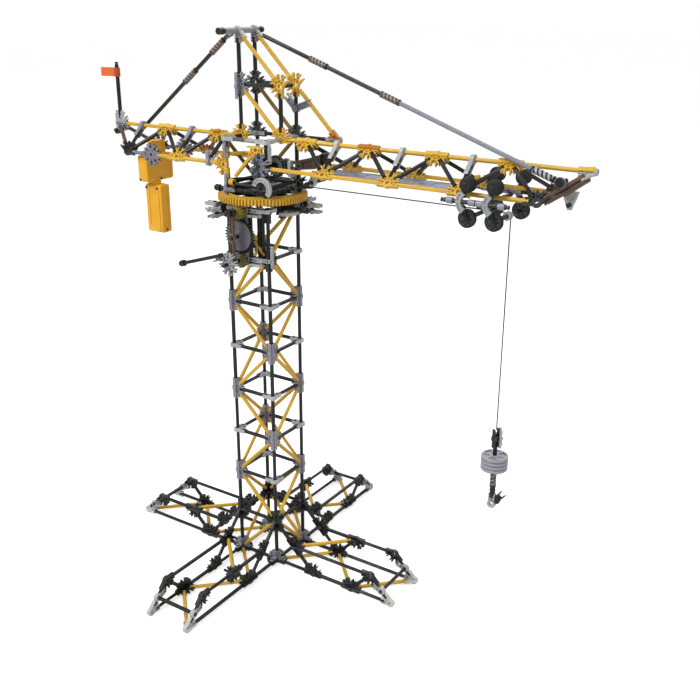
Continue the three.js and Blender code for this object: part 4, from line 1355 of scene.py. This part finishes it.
materials = {key: plastic(*row, **more) for key, (_, *row, more) in PALETTE.items()}

# ================================================================ build the pieces
MM = 0.001
body_of = {}
for body, nodes in frame["record"]["behaviour"]["bodies"].items():
    for node in nodes:
        body_of[node] = body


def add_object(name, mesh):
    obj = bpy.data.objects.new(name, mesh)
    bpy.context.scene.collection.objects.link(obj)
    return obj


for name, piece in pieces.items():
    node, mat = piece["node"], piece["mat"]
    mesh = bpy.data.meshes.new(name)
    points = (np.concatenate(piece["verts"]) + ORIGIN) * MM
    mesh.from_pydata(points.tolist(), [], piece["faces"])
    tones = mesh.attributes.new("tone", "FLOAT", "POINT")
    tones.data.foreach_set("value", np.concatenate(piece["tones"]))
    mesh.polygons.foreach_set("use_smooth", [True] * len(mesh.polygons))
    mesh.set_sharp_from_angle(angle=math.radians(32))
    mesh.materials.append(materials[mat])
    mesh.update()
    obj = add_object(name, mesh)
    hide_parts(node)
    shift = ORIGIN[0].item() / 1000
    if node == "trolley_cable":
        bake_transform(obj)
    elif node == "hoist_cable":
        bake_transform(obj)
    else:
        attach(obj, body_of[node])

# ================================================================ stage, light, camera
# The world is white to the camera and dimmer as a light.
world = bpy.data.worlds.new("studio")
bpy.context.scene.world = world
world.use_nodes = True
tree = world.node_tree
background = tree.nodes["Background"].inputs
background["Color"].default_value = (1, 1, 1, 1)
seen = tree.nodes.new("ShaderNodeLightPath").outputs["Is Camera Ray"]
tree.links.new(map_range(tree, seen, to_min=0.52, to_max=1.0), background["Strength"])


def floor_material():
    """A pale matt floor that also glows a little to the camera."""
    material = bpy.data.materials.new("floor_pale")
    material.use_nodes = True
    tree = material.node_tree
    shader = tree.nodes["Principled BSDF"].inputs
    cloud = map_range(tree, noise(tree, scale=3, detail=2), to_min=0.72, to_max=0.76)
    tree.links.new(cloud, shader["Base Color"])
    shader["Roughness"].default_value = 0.9
    shader["Emission Color"].default_value = (1, 1, 1, 1)
    seen = tree.nodes.new("ShaderNodeLightPath").outputs["Is Camera Ray"]
    tree.links.new(multiply(tree, seen, 0.6), shader["Emission Strength"])
    return material


def build_floor(half=28, n=24):
    """A square grid of n by n faces; half is half its side in metres."""
    ticks = [-half + 2 * half * i / n for i in range(n + 1)]
    corners = [i * (n + 1) + j for i in range(n) for j in range(n)]
    mesh = bpy.data.meshes.new("floor")
    mesh.from_pydata([(x, y, 0.0) for x in ticks for y in ticks], [],
                     [(c, c + n + 1, c + n + 2, c + 1) for c in corners])
    floor = bpy.data.objects.new("floor", mesh)
    mesh.materials.append(floor_material())
    bpy.context.scene.collection.objects.link(floor)


def area_light(name, place, target, size, watts):
    light = bpy.data.lights.new(name, "AREA")
    light.shape = "RECTANGLE"
    light.size, light.size_y = size
    light.energy = watts
    obj = bpy.data.objects.new(name, light)
    obj.location = place
    obj.rotation_mode = "QUATERNION"
    way = Vector(target) - Vector(place)
    obj.rotation_quaternion = way.to_track_quat("-Z", "Y")
    bpy.context.scene.collection.objects.link(obj)


def build_camera(place, azimuth, elevation, roll, lens):
    """Place is in the crane's frame; angles in degrees, azimuth from -Y towards +X."""
    data = bpy.data.cameras.new("camera")
    camera = add_object("camera", data)
    az, el, tilt = (math.radians(a) for a in (azimuth, elevation, roll))
    back = vec(math.sin(az) * math.cos(el), -math.cos(az) * math.cos(el), math.sin(el))
    right = unit(np.cross(-back, Z_DIR))
    up = np.cross(right, -back)
    matrix = np.eye(4)
    matrix[:3, 0] = math.cos(tilt) * right + math.sin(tilt) * up
    matrix[:3, 1] = -math.sin(tilt) * right + math.cos(tilt) * up
    matrix[:3, 2] = back
    matrix[:3, 3] = (vec(*place) + ORIGIN) * MM
    camera.matrix_world = Matrix(matrix.tolist())
    data.sensor_width = 36
    data.lens = lens
    data.clip_start, data.clip_end = 0.02, 60
    bpy.context.scene.camera = camera


build_floor()
area_light("key", place=(-1.0, -1.9, 2.9), target=(0, 0, 0.45), size=(1.3, 1.3), watts=78)
area_light("fill", place=(2.6, -0.9, 1.6), target=(0, 0, 0.5), size=(1.8, 1.8), watts=20)
area_light("rim", place=(-0.4, 2.4, 2.6), target=(0, 0, 0.6), size=(2.2, 1.4), watts=30)
build_camera(place=(883.1, -1110.7, 902.2), azimuth=33.07, elevation=20.89, roll=0.274,
             lens=47.8836)
bpy.context.scene.view_settings.view_transform = "Standard"
